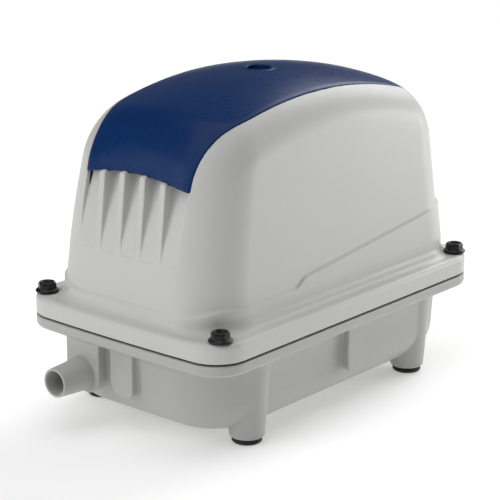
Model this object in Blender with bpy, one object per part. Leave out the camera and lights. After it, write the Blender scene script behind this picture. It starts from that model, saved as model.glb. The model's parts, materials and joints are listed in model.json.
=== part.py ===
"""Linear diaphragm air pump for ponds and aquariums, as an assembly of separate solids.

+X runs along the pump's length and +Z points up. The outlet and the air vents are at the -X end.
Shapes are laid out about the middle of the bolted flange, and one empty then carries the whole
pump sideways, so that the world origin is under the middle of its bounding box.
"""

import math

import bmesh
import bpy

MM = 0.001
GAP = 0.3 * MM

# Where the pump's layout stands in the world
LAYOUT_SHIFT_X = 6.7 * MM
LAYOUT_SHIFT_Z = 4.3 * MM

# Bolted flange of the housing and rim of the tank, which share one outline
FLANGE_HALF_X = 125 * MM
FLANGE_HALF_Y = 79.5 * MM
FLANGE_CORNER = 20 * MM
FLANGE_BOW = 2 * MM
FLANGE_BOTTOM = 57.2 * MM
FLANGE_TOP = 68.7 * MM
RIM_TOP = 56.0 * MM
RIM_BOTTOM = 49.0 * MM
BOLT_X = 114 * MM
BOLT_Y = 69.4 * MM
BOLT_HOLE_RADIUS = 3.4 * MM

# Skin of the housing above the flange
SKIN_FOOT = 80 * MM
SKIN_VENT_END = -118.5 * MM
SKIN_VENT_LEAN = 0.055
SKIN_VENT_CURVE = 0.0013 / MM
SKIN_FAR_END = 122 * MM
SKIN_FAR_LEAN = 0.112
SKIN_HALF_Y = 66.8 * MM
SKIN_SIDE_LEAN = 0.063
CROWN_Z = 197.8 * MM
CROWN_X = -0.8 * MM
CROWN_RADIUS_X = 291 * MM
CROWN_RADIUS_Y = 172 * MM
SKIN_PLAN_RADIUS = 32.6 * MM
SHOULDER_VENT_END = 19.4 * MM
SHOULDER_FAR_END = 40 * MM
SHOULDER_SIDE = 15.8 * MM
SHOULDER_BLEND = 40 * MM
HOUSING_WALL = 3 * MM

# Planes well outside the housing, where the tools that cut it end
BEYOND_VENTS_X = -135 * MM
BEYOND_TOP_Z = 215 * MM

# Gasket in the seam
GASKET_INSET = 1.2 * MM
GASKET_HALF_X = 116 * MM
GASKET_HALF_Y = 64.5 * MM
GASKET_CORNER = 30 * MM
GASKET_HOLE_RADIUS = 3.8 * MM

# Box inside the housing from which the points of its skin are spread
CORE_VENT_X = -80 * MM
CORE_FAR_X = 74 * MM
CORE_HALF_Y = 38 * MM
CORE_TOP = 150 * MM

# Filter cover, which lies flush in the housing's top
COVER_THICK = 2.5 * MM
COVER_REBATE = 2.8 * MM
COVER_LOWER_Z = 147 * MM
COVER_LOWER_ARCH = 5 * MM
COVER_HALF_LOW = 40.4 * MM
COVER_HALF_HIGH = 47.8 * MM
COVER_FAR_X = 98 * MM
COVER_SPREAD_START = -112 * MM
COVER_SPREAD_LENGTH = 50 * MM

# Vent grooves in the end face, below the filter cover
VENT_PITCH = 15.5 * MM
VENT_HALF_WIDTH = 5 * MM
VENT_BOTTOM = 105 * MM
VENT_TOP = 158 * MM
VENT_LIP_Z = 150 * MM
VENT_DEPTH = 8.5 * MM

# Filter well under the cover
WELL_HALF_Y = 36 * MM
WELL_FLOOR = 168 * MM
WELL_VENT_X = -103 * MM
WELL_STEP_X = -55 * MM
WELL_FAR_X = 62 * MM
POST_RADIUS = 5 * MM
POST_TOP = 189.6 * MM
CUP_RADIUS = 9.5 * MM
CUP_BORE = 7.5 * MM
CUP_FLOOR = 190 * MM
CUP_FLOOR_THICK = 2 * MM
SCREW_HOLE = 2.7 * MM
INTAKE_HOLE_X = 40 * MM
INTAKE_HOLE_RADIUS = 10 * MM

# Air tank
TANK_HALF_X = 117.3 * MM
TANK_HALF_Y = 71.9 * MM
TANK_CORNER = 41.6 * MM
TANK_FLOOR = 3.1 * MM
TANK_DRAFT = 0.057
TANK_BOTTOM_RADIUS = 21.8 * MM
TANK_WALL = 4 * MM
PLATE_LEDGE = 46 * MM
PLATE_RECESS_HALF_X = 104 * MM
PLATE_RECESS_HALF_Y = 61 * MM
PLATE_RECESS_CORNER = 30 * MM
CHAMBER_HALF_X = 99 * MM
CHAMBER_HALF_Y = 57 * MM
CHAMBER_CORNER = 44 * MM
LEG_X = 79.1 * MM
LEG_Y = 59.1 * MM
LEG_TOP_RADIUS = 14.1 * MM
LEG_TAPER = 0.072
LEG_END_RADIUS = 9.4 * MM
LEG_BOTTOM = -0.8 * MM
FOOT_BOTTOM = -4.3 * MM
FOOT_RADIUS = 9 * MM
FOOT_STUD_RADIUS = 3.6 * MM
FOOT_STUD_TOP = 5.2 * MM

# Raised panels on the tank's outlet end and long sides
END_PAD_X = -121 * MM
END_PAD_YS = (-7 * MM, 11 * MM)
END_PAD_BOTTOM = 19.4 * MM
SIDE_PAD_Y = 76.2 * MM
SIDE_PAD_XS = (-5 * MM, 11.5 * MM)
SIDE_PAD_BOTTOM = 20.4 * MM
PAD_NEAR_CORNER = 5 * MM
PAD_FAR_CORNER = 10 * MM

# Outlet
OUTLET_Y = 31.4 * MM
OUTLET_Z = 28.2 * MM
OUTLET_RADIUS = 9 * MM
OUTLET_ROOT_RADIUS = 10.3 * MM
OUTLET_BORE = 7.3 * MM
OUTLET_MOUTH_X = -146.4 * MM
OUTLET_BLOCK_X = -124.2 * MM
OUTLET_BLOCK_YS = (17.4 * MM, 44 * MM)
OUTLET_BLOCK_BOTTOM = 15 * MM
OUTLET_BLOCK_CORNER = 8 * MM
OUTLET_INNER_X = -96 * MM

# Plate that closes the tank and carries the motor
PLATE_THICK = 2 * MM
PLATE_BOTTOM = PLATE_LEDGE + GAP
PLATE_TOP = PLATE_BOTTOM + PLATE_THICK
PLATE_SCREW_X = 91.6 * MM
PLATE_SCREW_Y = 48.6 * MM

# Vibrating motor
MOTOR_Z = 106 * MM
BRACKET_BOTTOM = 66 * MM
BRACKET_FLOOR = 68.5 * MM
BRACKET_TOP = 146 * MM
BRACKET_HALF_X = 60 * MM
BRACKET_HALF_Y = 46 * MM
END_WALL_INNER = 44 * MM
END_WALL_OUTER = 47 * MM
END_WALL_HOLE = 22 * MM
DAMPER_X = 50 * MM
DAMPER_Y = 38 * MM
DAMPER_RADIUS = 8 * MM
CORE_HALF_LENGTH = 33 * MM
CORE_HALF_STACK = 18 * MM
CORE_POLE_Y = 6.5 * MM
CORE_BACK_Y = 30 * MM
CORE_OUTER_Y = 38 * MM
CORE_POST_XS = (25 * MM, 31 * MM)
CORE_POST_YS = (31 * MM, 37 * MM)
CENTRE_POLE_HALF = 8 * MM
OUTER_POLE_INNER = 23 * MM
BOBBIN_WALL = 1.2 * MM
BOBBIN_NEAR_Y = 8.5 * MM
BOBBIN_FAR_Y = 29.7 * MM
BOBBIN_HALF_X = 22.4 * MM
BOBBIN_HALF_Z = 30 * MM
MAGNET_X = 13.5 * MM
MAGNET_HALF_X = 9.9 * MM
MAGNET_HALF_Y = 4.6 * MM
MAGNET_HALF_Z = 16.9 * MM
HOLDER_HALF_X = 27 * MM
HOLDER_HALF_Y = 4.2 * MM
HOLDER_HALF_Z = 20 * MM
ROD_RADIUS = 4 * MM
ROD_THREAD_RADIUS = 2.8 * MM
ROD_SHOULDER_X = 49.9 * MM
ROD_END_X = 64 * MM

# Diaphragms and pump heads, as distances from the motor's middle
RING_FACES = (47.3 * MM, 52.7 * MM)
DIAPHRAGM_FACES = (53.0 * MM, 55.0 * MM)
DIAPHRAGM_RADIUS = 33 * MM
RING_BORE = 24 * MM
DISC_RADIUS = 17 * MM
DISC_BORE = 3.1 * MM
INNER_DISC_FACES = (50.2 * MM, 52.7 * MM)
OUTER_DISC_FACES = (55.3 * MM, 57.3 * MM)
NUT_FACES = (57.6 * MM, 61.6 * MM)
NUT_FLATS = 10 * MM
HEAD_FACES = (55.3 * MM, 88 * MM)
HEAD_HALF = 35 * MM
CHAMBER_BACK = 72 * MM
VALVE_WALL_BACK = 75 * MM
HEAD_CHAMBER_RADIUS = 26 * MM
VALVE_OFFSET_Z = 15 * MM
VALVE_PORT_RADIUS = 4 * MM
FLAP_THICK = 1.2 * MM
FLAP_HALF_Y = 8 * MM
FLAP_HALF_Z = 7 * MM
NIPPLE_X = 81.5 * MM
NIPPLE_RADIUS = 3.7 * MM
NIPPLE_BORE = 2.3 * MM
NIPPLE_BOTTOM = 62 * MM
HEAD_INLET_RADIUS = 5 * MM
HEAD_COVER_THICK = 3 * MM
TUBE_RADIUS = 6.5 * MM
TUBE_BORE = 4.1 * MM
TUBE_BOTTOM = 44 * MM

# Filter element
ELEMENT_HEIGHT = 14 * MM
ELEMENT_HOLE_RADIUS = 8 * MM

# Screws
COVER_SCREW_RADIUS = 2.3 * MM
COVER_SCREW_LENGTH = 14 * MM
COVER_SCREW_HEAD_RADIUS = 5 * MM
COVER_SCREW_HEAD_HEIGHT = 3.2 * MM
CROSS_HALF_LENGTH = 2.6 * MM
CROSS_HALF_WIDTH = 0.6 * MM
CROSS_DEPTH = 1.6 * MM
PLATE_SCREW_HOLE = 2.3 * MM
PLATE_SCREW_RADIUS = 2 * MM
PLATE_SCREW_HEAD_RADIUS = 3.8 * MM
PLATE_SCREW_TIP_Z = 38.5 * MM
BOLT_SHANK_RADIUS = 3 * MM
BOLT_TIP_Z = 50.5 * MM
BOLT_FLANGE_RADIUS = 7.1 * MM
BOLT_FLANGE_HEIGHT = 2 * MM
BOLT_HEX_FLATS = 10 * MM
BOLT_HEAD_HEIGHT = 5.9 * MM

# Trip switch and mains entry
SWITCH_HALF_X = 14 * MM
SWITCH_HALF_Y = 5 * MM
SWITCH_TOP = 77.8 * MM
LEVER_PIVOT_X = -11 * MM
LEVER_PIVOT_Z = 80.5 * MM
GLAND_Y = -28 * MM
GLAND_Z = 62.6 * MM
GLAND_BORE = 2.6 * MM
GLAND_NECK_RADIUS = 3.7 * MM
GLAND_COLLAR_RADIUS = 5.1 * MM
GLAND_INNER_X = 112 * MM
GLAND_SEAT_X = 127.1 * MM
GLAND_END_X = 133 * MM
TERMINAL_LOW = (88 * MM, -42 * MM)
TERMINAL_HIGH = (100 * MM, -14 * MM)
TERMINAL_YS = (-37 * MM, -28 * MM, -19 * MM)
TERMINAL_BASE_HEIGHT = 8 * MM
TERMINAL_RIDGE_HEIGHT = 12 * MM


def clear_scene():
    for scene_object in list(bpy.data.objects):
        bpy.data.objects.remove(scene_object, do_unlink=True)


def material(name, colour, roughness, metallic=0.0):
    made = bpy.data.materials.new(name)
    made.use_nodes = True
    shader = made.node_tree.nodes["Principled BSDF"]
    shader.inputs["Base Color"].default_value = (*colour, 1.0)
    shader.inputs["Roughness"].default_value = roughness
    shader.inputs["Metallic"].default_value = metallic
    return made


def make_object(name, shape, finish=None):
    """Turn a closed bmesh into an object with its faces pointing out."""
    bmesh.ops.recalc_face_normals(shape, faces=shape.faces)
    mesh = bpy.data.meshes.new(name)
    shape.to_mesh(mesh)
    shape.free()
    made = bpy.data.objects.new(name, mesh)
    bpy.context.collection.objects.link(made)
    if finish:
        mesh.materials.append(finish)
        mesh.shade_smooth()
        mesh.set_sharp_from_angle(angle=math.radians(30))
    return made


def combine(target, tool, operation):
    """Join or cut target with tool, which stays in the file as a hidden guide."""
    tool.hide_render = True
    tool.display_type = "WIRE"
    modifier = target.modifiers.new(tool.name, "BOOLEAN")
    modifier.object = tool
    modifier.operation = operation
    modifier.solver = "EXACT"


def cut(target, *tools):
    for tool in tools:
        combine(target, tool, "DIFFERENCE")


def join(target, *tools):
    for tool in tools:
        combine(target, tool, "UNION")


def add_loft(shape, loops, ring=False):
    """Skin a list of equal loops. A ring closes on its first loop, and any other loft is capped."""
    rows = [[shape.verts.new(point) for point in loop] for loop in loops]
    count = len(rows[0])
    pairs = list(zip(rows, rows[1:]))
    if ring:
        pairs.append((rows[-1], rows[0]))
    for low, high in pairs:
        for index in range(count):
            after = (index + 1) % count
            shape.faces.new((low[index], low[after], high[after], high[index]))
    if not ring:
        shape.faces.new(rows[0])
        shape.faces.new(rows[-1])


def loft(name, loops, finish=None, ring=False):
    shape = bmesh.new()
    add_loft(shape, loops, ring)
    return make_object(name, shape, finish)


def rounded_rectangle(half_x, half_y, radius, steps=4, bow=0.0):
    """Outline in two coordinates. The ends at +-half_x can bow outwards."""
    points = []
    for quarter in range(4):
        sign_x = 1 if quarter in (0, 3) else -1
        sign_y = 1 if quarter in (0, 1) else -1
        for step in range(steps + 1):
            angle = math.radians(90 * quarter + 90 * step / steps)
            points.append((
                sign_x * (half_x - radius) + radius * math.cos(angle),
                sign_y * (half_y - radius) + radius * math.sin(angle),
            ))
        if bow and quarter in (1, 3):
            for share in (-0.5, 0.0, 0.5):
                points.append((sign_x * half_x, sign_x * share * (half_y - radius)))
    return [(x + math.copysign(bow * (1 - (y / half_y) ** 2), x) * (abs(x) > half_x / 2), y)
            for x, y in points]


def inset_rectangle(half_x, half_y, radius, inset, bow=0.0):
    return rounded_rectangle(half_x - inset, half_y - inset, radius - inset, 5, bow)


def circle(radius, count):
    return [(radius * math.cos(math.tau * i / count), radius * math.sin(math.tau * i / count))
            for i in range(count)]


def hexagon(flats, count):
    """A hexagon across its flats, with its outline split into count points."""
    points = []
    for index in range(count):
        angle = math.tau * index / count
        swing = angle % (math.pi / 3) - math.pi / 6
        radius = flats / 2 / math.cos(swing)
        points.append((radius * math.cos(angle), radius * math.sin(angle)))
    return points


def level(outline, z, x=0.0, y=0.0):
    return [(x + u, y + v, z) for u, v in outline]


def along_x(outline, x, y=0.0, z=0.0):
    return [(x, y + u, z + v) for u, v in outline]


def along_y(outline, y, x=0.0, z=0.0):
    return [(x + u, y, z + v) for u, v in outline]


def add_box(shape, low, high):
    outline = [(low[0], low[1]), (high[0], low[1]), (high[0], high[1]), (low[0], high[1])]
    add_loft(shape, [level(outline, low[2]), level(outline, high[2])])


def box(name, low, high, finish=None):
    shape = bmesh.new()
    add_box(shape, low, high)
    return make_object(name, shape, finish)


def boxes(name, corners):
    shape = bmesh.new()
    for low, high in corners:
        add_box(shape, low, high)
    return make_object(name, shape)


def turned_z(name, profile, x, y, finish=None, count=16, ring=False):
    """Turn a profile of (radius, height) pairs about a vertical axis."""
    loops = [level(circle(radius, count), z, x, y) for radius, z in profile]
    return loft(name, loops, finish, ring)


def turned_x(name, profile, y, z, finish=None, count=24, ring=False):
    """Turn a profile of (radius, x) pairs about an axis along X."""
    loops = [along_x(circle(radius, count), x, y, z) for radius, x in profile]
    return loft(name, loops, finish, ring)


def pegs_z(name, places, radius, low, high, count=16):
    """One hidden tool made of equal upright cylinders."""
    shape = bmesh.new()
    for x, y in places:
        outline = circle(radius, count)
        add_loft(shape, [level(outline, low, x, y), level(outline, high, x, y)])
    return make_object(name, shape)


def four_corners(x, y):
    return [(-x, -y), (x, -y), (x, y), (-x, y)]


# Housing skin


def rounded_corner(first, second, radius):
    """Distance to two faces that meet in a rounded edge, from the distance to each of them."""
    near = math.hypot(max(first + radius, 0.0), max(second + radius, 0.0))
    return near - radius + min(max(first + radius, second + radius), 0.0)


def skin_distance(x, y, z):
    """How far a point lies outside the housing's skin, or inside it where negative."""
    rise = max(z - SKIN_FOOT, 0.0)
    vent_end = SKIN_VENT_END + SKIN_VENT_LEAN * rise + SKIN_VENT_CURVE * rise * rise - x
    far_end = x - SKIN_FAR_END + SKIN_FAR_LEAN * rise
    end = max(vent_end, far_end)
    side = abs(y) - SKIN_HALF_Y + SKIN_SIDE_LEAN * rise
    plan = rounded_corner(end, side, SKIN_PLAN_RADIUS)
    run_x = (x - CROWN_X) / CROWN_RADIUS_X
    run_y = y / CROWN_RADIUS_Y
    crown = CROWN_Z - CROWN_RADIUS_X * run_x ** 2 / 2 - CROWN_RADIUS_Y * run_y ** 2 / 2
    top = (z - crown) / math.hypot(1.0, run_x, run_y)
    share = min(max((end - side) / SHOULDER_BLEND + 0.5, 0.0), 1.0)
    share = share * share * (3 - 2 * share)
    end_radius = SHOULDER_VENT_END if x < 0 else SHOULDER_FAR_END
    return rounded_corner(plan, top, share * end_radius + (1 - share) * SHOULDER_SIDE)


def reach_skin(start, direction, inset):
    """The point where a ray from inside the housing meets its skin, less an inset."""
    near = 0.0
    far = 120 * MM
    for _ in range(30):
        middle = (near + far) / 2
        point = [s + d * middle for s, d in zip(start, direction)]
        if skin_distance(*point) < -inset:
            near = middle
        else:
            far = middle
    return [s + d * near for s, d in zip(start, direction)]


def spread(low, high, flats, fans, open_low=False):
    """Stations along one axis: where each ray starts, and how far it leans."""
    leans = [math.tan(math.radians(45 * step / fans)) for step in range(1, fans + 1)]
    stations = [] if open_low else [(low, -lean) for lean in reversed(leans)]
    stations += [(low + (high - low) * step / flats, 0.0) for step in range(flats + 1)]
    return stations + [(high, lean) for lean in leans]


def skin_solid(name, inset, bottom, fans, finish=None):
    """The solid inside the housing's skin, cut off flat at the bottom."""
    xs = spread(CORE_VENT_X, CORE_FAR_X, 5, fans)
    ys = spread(-CORE_HALF_Y, CORE_HALF_Y, 3, fans)
    zs = spread(bottom, CORE_TOP, 3, fans, open_low=True)
    shape = bmesh.new()
    made = {}

    def vertex(i, j, k):
        if (i, j, k) not in made:
            start = (xs[i][0], ys[j][0], zs[k][0])
            lean = (xs[i][1], ys[j][1], zs[k][1])
            size = math.hypot(*lean)
            direction = [value / size for value in lean]
            made[i, j, k] = shape.verts.new(reach_skin(start, direction, inset))
        return made[i, j, k]

    last_x = len(xs) - 1
    last_y = len(ys) - 1
    last_z = len(zs) - 1
    for i in range(last_x):
        for j in range(last_y):
            shape.faces.new((vertex(i, j, last_z), vertex(i + 1, j, last_z),
                             vertex(i + 1, j + 1, last_z), vertex(i, j + 1, last_z)))
    for k in range(last_z):
        for i in range(last_x):
            for j in (0, last_y):
                shape.faces.new((vertex(i, j, k), vertex(i + 1, j, k),
                                 vertex(i + 1, j, k + 1), vertex(i, j, k + 1)))
        for j in range(last_y):
            for i in (0, last_x):
                shape.faces.new((vertex(i, j, k), vertex(i, j + 1, k),
                                 vertex(i, j + 1, k + 1), vertex(i, j, k + 1)))
    rim = [vertex(i, 0, 0) for i in range(last_x)]
    rim += [vertex(last_x, j, 0) for j in range(last_y)]
    rim += [vertex(i, last_y, 0) for i in range(last_x, 0, -1)]
    rim += [vertex(0, j, 0) for j in range(last_y, 0, -1)]
    skin = list(shape.faces)
    shape.faces.new(rim)
    bmesh.ops.triangulate(shape, faces=skin, quad_method="FIXED")
    return make_object(name, shape, finish)


def cover_half_width(x):
    share = min(max((x - COVER_SPREAD_START) / COVER_SPREAD_LENGTH, 0.0), 1.0)
    share = share * share * (3 - 2 * share)
    return COVER_HALF_LOW + (COVER_HALF_HIGH - COVER_HALF_LOW) * share


def cover_band(name, grow):
    """Upright block whose sides and arched lower edge bound the filter cover."""
    loops = []
    steps = 8
    for step in range(steps + 1):
        x = COVER_SPREAD_START + COVER_SPREAD_LENGTH * step / steps
        if step == 0:
            x = BEYOND_VENTS_X
        if step == steps:
            x = COVER_FAR_X + grow
        half = cover_half_width(x) + grow
        outline = [(-half, BEYOND_TOP_Z)]
        for share in (-1.0, -0.6, -0.2, 0.2, 0.6, 1.0):
            arch = COVER_LOWER_ARCH * (1 - share * share)
            outline.append((half * share, COVER_LOWER_Z + arch - grow))
        outline.append((half, BEYOND_TOP_Z))
        loops.append([(x, y, z) for y, z in outline])
    return loft(name, loops)


def vent_face_x(z):
    rise = z - SKIN_FOOT
    return SKIN_VENT_END + SKIN_VENT_LEAN * rise + SKIN_VENT_CURVE * rise * rise


def well_outline(wall):
    """Side view of the filter well, grown by a wall thickness."""
    floor = WELL_FLOOR - wall
    return [
        (WELL_VENT_X - wall, 150 * MM - wall), (WELL_STEP_X, floor), (WELL_FAR_X + wall, floor),
        (WELL_FAR_X + wall, BEYOND_TOP_Z), (WELL_VENT_X - wall, BEYOND_TOP_Z),
    ]


def upper_housing(finish):
    edge = [(FLANGE_BOTTOM, 0.0), (FLANGE_TOP - 3.5 * MM, 0.0), (FLANGE_TOP - 1.5 * MM, 0.8 * MM),
            (FLANGE_TOP, 3 * MM)]
    flange_loops = [level(rounded_rectangle(FLANGE_HALF_X - inset, FLANGE_HALF_Y - inset,
                                            FLANGE_CORNER - inset, 5, FLANGE_BOW), z)
                    for z, inset in edge]
    housing = loft("upper_housing", flange_loops, finish)
    join(housing, skin_solid("housing_skin", 0.0, FLANGE_BOTTOM + 3 * MM, 4))

    cavity = skin_solid("housing_cavity", HOUSING_WALL, 45 * MM, 3)
    wall = HOUSING_WALL
    behind_vents = [
        (BEYOND_VENTS_X, VENT_BOTTOM - wall), (vent_face_x(VENT_BOTTOM) + wall, VENT_BOTTOM - wall),
        (vent_face_x(VENT_LIP_Z) + VENT_DEPTH + wall, VENT_LIP_Z - wall),
    ]
    behind_well = well_outline(wall)[1:4] + [(BEYOND_VENTS_X, BEYOND_TOP_Z)]
    half = WELL_HALF_Y + wall
    outline = behind_vents + behind_well
    cut(cavity, loft("air_way_walls", [along_y(outline, -half), along_y(outline, half)]))
    cut(housing, cavity)

    rebate = cover_band("cover_rebate", 0.0)
    cut(rebate, skin_solid("rebate_floor", COVER_REBATE, 90 * MM, 4))
    cut(housing, rebate)
    outline = well_outline(0.0)
    well = loft("filter_well", [along_y(outline, -WELL_HALF_Y), along_y(outline, WELL_HALF_Y)])
    cut(housing, well)

    shape = bmesh.new()
    lip = vent_face_x(VENT_LIP_Z) + VENT_DEPTH
    groove = [(BEYOND_VENTS_X, VENT_BOTTOM), (vent_face_x(VENT_BOTTOM), VENT_BOTTOM), (lip, VENT_LIP_Z),
              (lip, VENT_TOP), (BEYOND_VENTS_X, VENT_TOP)]
    for place in range(-2, 3):
        y = place * VENT_PITCH
        add_loft(shape, [along_y(groove, y - VENT_HALF_WIDTH), along_y(groove, y + VENT_HALF_WIDTH)])
    cut(housing, make_object("vent_grooves", shape))

    post = pegs_z("cover_post", [(0.0, 0.0)], POST_RADIUS, WELL_FLOOR - 1.5 * MM, POST_TOP)
    join(housing, post)
    cut(housing,
        pegs_z("bolt_holes", four_corners(BOLT_X, BOLT_Y), BOLT_HOLE_RADIUS, 50 * MM, 75 * MM),
        pegs_z("intake_hole", [(INTAKE_HOLE_X, 0.0)], INTAKE_HOLE_RADIUS, 160 * MM, 170 * MM, 20),
        pegs_z("post_hole", [(0.0, 0.0)], SCREW_HOLE, 175 * MM, 195 * MM, 12),
        turned_x("gland_hole", [(GLAND_NECK_RADIUS + GAP, GLAND_INNER_X - 12 * MM),
                                (GLAND_NECK_RADIUS + GAP, GLAND_END_X + 2 * MM)], GLAND_Y, GLAND_Z))
    return housing


def filter_cover(finish):
    cover = skin_solid("filter_cover", 0.0, 100 * MM, 4, finish)
    combine(cover, cover_band("cover_outline", -GAP), "INTERSECT")
    cut(cover, skin_solid("cover_inside", COVER_THICK, 90 * MM, 4))
    join(cover, pegs_z("cover_cup", [(0.0, 0.0)], CUP_RADIUS, CUP_FLOOR, 196.3 * MM, 24))
    cut(cover,
        pegs_z("cup_bore", [(0.0, 0.0)], CUP_BORE, CUP_FLOOR + CUP_FLOOR_THICK, 205 * MM, 24),
        pegs_z("cup_hole", [(0.0, 0.0)], SCREW_HOLE, 185 * MM, 195 * MM, 12))
    return cover


def filter_cover_screw(finish):
    seat = CUP_FLOOR + CUP_FLOOR_THICK + GAP
    top = seat + COVER_SCREW_HEAD_HEIGHT
    profile = [(COVER_SCREW_RADIUS - 0.3 * MM, seat - COVER_SCREW_LENGTH),
               (COVER_SCREW_RADIUS, seat - COVER_SCREW_LENGTH + MM), (COVER_SCREW_RADIUS, seat),
               (COVER_SCREW_HEAD_RADIUS, seat), (COVER_SCREW_HEAD_RADIUS, top - MM),
               (COVER_SCREW_HEAD_RADIUS - 1.4 * MM, top)]
    screw = turned_z("filter_cover_screw", profile, 0.0, 0.0, finish)
    for name, half_x, half_y in (("screw_recess", CROSS_HALF_LENGTH, CROSS_HALF_WIDTH),
                                 ("screw_cross", CROSS_HALF_WIDTH, CROSS_HALF_LENGTH)):
        cut(screw, box(name, (-half_x, -half_y, top - CROSS_DEPTH), (half_x, half_y, top + MM)))
    return screw


def filter_element(finish):
    low_x = WELL_STEP_X + 5 * MM
    high_x = WELL_FAR_X - 4 * MM
    half_y = WELL_HALF_Y - 2 * MM
    middle = (low_x + high_x) / 2
    outline = rounded_rectangle((high_x - low_x) / 2, half_y, 4 * MM, 3)
    bottom = WELL_FLOOR + GAP
    top = bottom + ELEMENT_HEIGHT
    element = loft("filter_element", [level(outline, bottom, middle), level(outline, top, middle)], finish)
    cut(element, pegs_z("element_hole", [(0.0, 0.0)], ELEMENT_HOLE_RADIUS, bottom - 5 * MM, top + 5 * MM, 20))
    return element


def housing_gasket(finish):
    outer = inset_rectangle(FLANGE_HALF_X, FLANGE_HALF_Y, FLANGE_CORNER, GASKET_INSET, FLANGE_BOW)
    inner = rounded_rectangle(GASKET_HALF_X, GASKET_HALF_Y, GASKET_CORNER, 5, FLANGE_BOW)
    low = RIM_TOP + GAP
    high = FLANGE_BOTTOM - GAP
    loops = [level(outer, low), level(outer, high), level(inner, high), level(inner, low)]
    gasket = loft("housing_gasket", loops, finish, ring=True)
    cut(gasket, pegs_z("gasket_holes", four_corners(BOLT_X, BOLT_Y), GASKET_HOLE_RADIUS, low - MM, high + MM))
    return gasket


def tank_inset(z):
    """How far the tank's wall stands in from its line under the rim."""
    draft = TANK_DRAFT * (RIM_BOTTOM - z)
    height = max(TANK_FLOOR + TANK_BOTTOM_RADIUS - z, 0.0)
    turn = TANK_BOTTOM_RADIUS - math.sqrt(max(TANK_BOTTOM_RADIUS ** 2 - height ** 2, 0.0))
    return draft + turn


def tank_loop(z, extra=0.0):
    inset = tank_inset(z) + extra
    return level(rounded_rectangle(TANK_HALF_X - inset, TANK_HALF_Y - inset, TANK_CORNER - inset, 6), z)


def leg_places():
    return [(end * LEG_X, side * LEG_Y) for end in (-1, 1) for side in (-1, 1)]


def leg(number, x, y):
    profile = [(LEG_END_RADIUS, LEG_BOTTOM)]
    top = RIM_BOTTOM + 2 * MM
    for z, inset in ((LEG_BOTTOM + 1.2 * MM, 0.8 * MM), (LEG_BOTTOM + 4 * MM, 0.2 * MM),
                     (LEG_BOTTOM + 9 * MM, 0.0), (top, 0.0)):
        profile.append((LEG_TOP_RADIUS - LEG_TAPER * (RIM_BOTTOM - z) - inset, z))
    return turned_z(f"leg_{number}", profile, x, y, None, 18)


def pad_outline(ends, bottom, near_corner, far_corner):
    """Outline of a raised panel as (along, height) pairs. Each lower corner has its own radius."""
    low, high = ends
    top = RIM_BOTTOM + 2 * MM
    outline = [(high, top), (low, top)]
    turns = [math.radians(22.5 * step) for step in range(5)]
    for turn in turns:
        across, up = 1 - math.cos(turn), 1 - math.sin(turn)
        outline.append((low + near_corner * across, bottom + near_corner * up))
    for turn in reversed(turns):
        across, up = 1 - math.cos(turn), 1 - math.sin(turn)
        outline.append((high - far_corner * across, bottom + far_corner * up))
    return outline


def end_pad(name, face_x, outline):
    return loft(name, [along_x(outline, face_x), along_x(outline, -TANK_HALF_X + 10 * MM)])


def side_pad(name, side, outline):
    planes = sorted((side * SIDE_PAD_Y, side * (TANK_HALF_Y - 6 * MM)))
    return loft(name, [along_y(outline, y) for y in planes])


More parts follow.
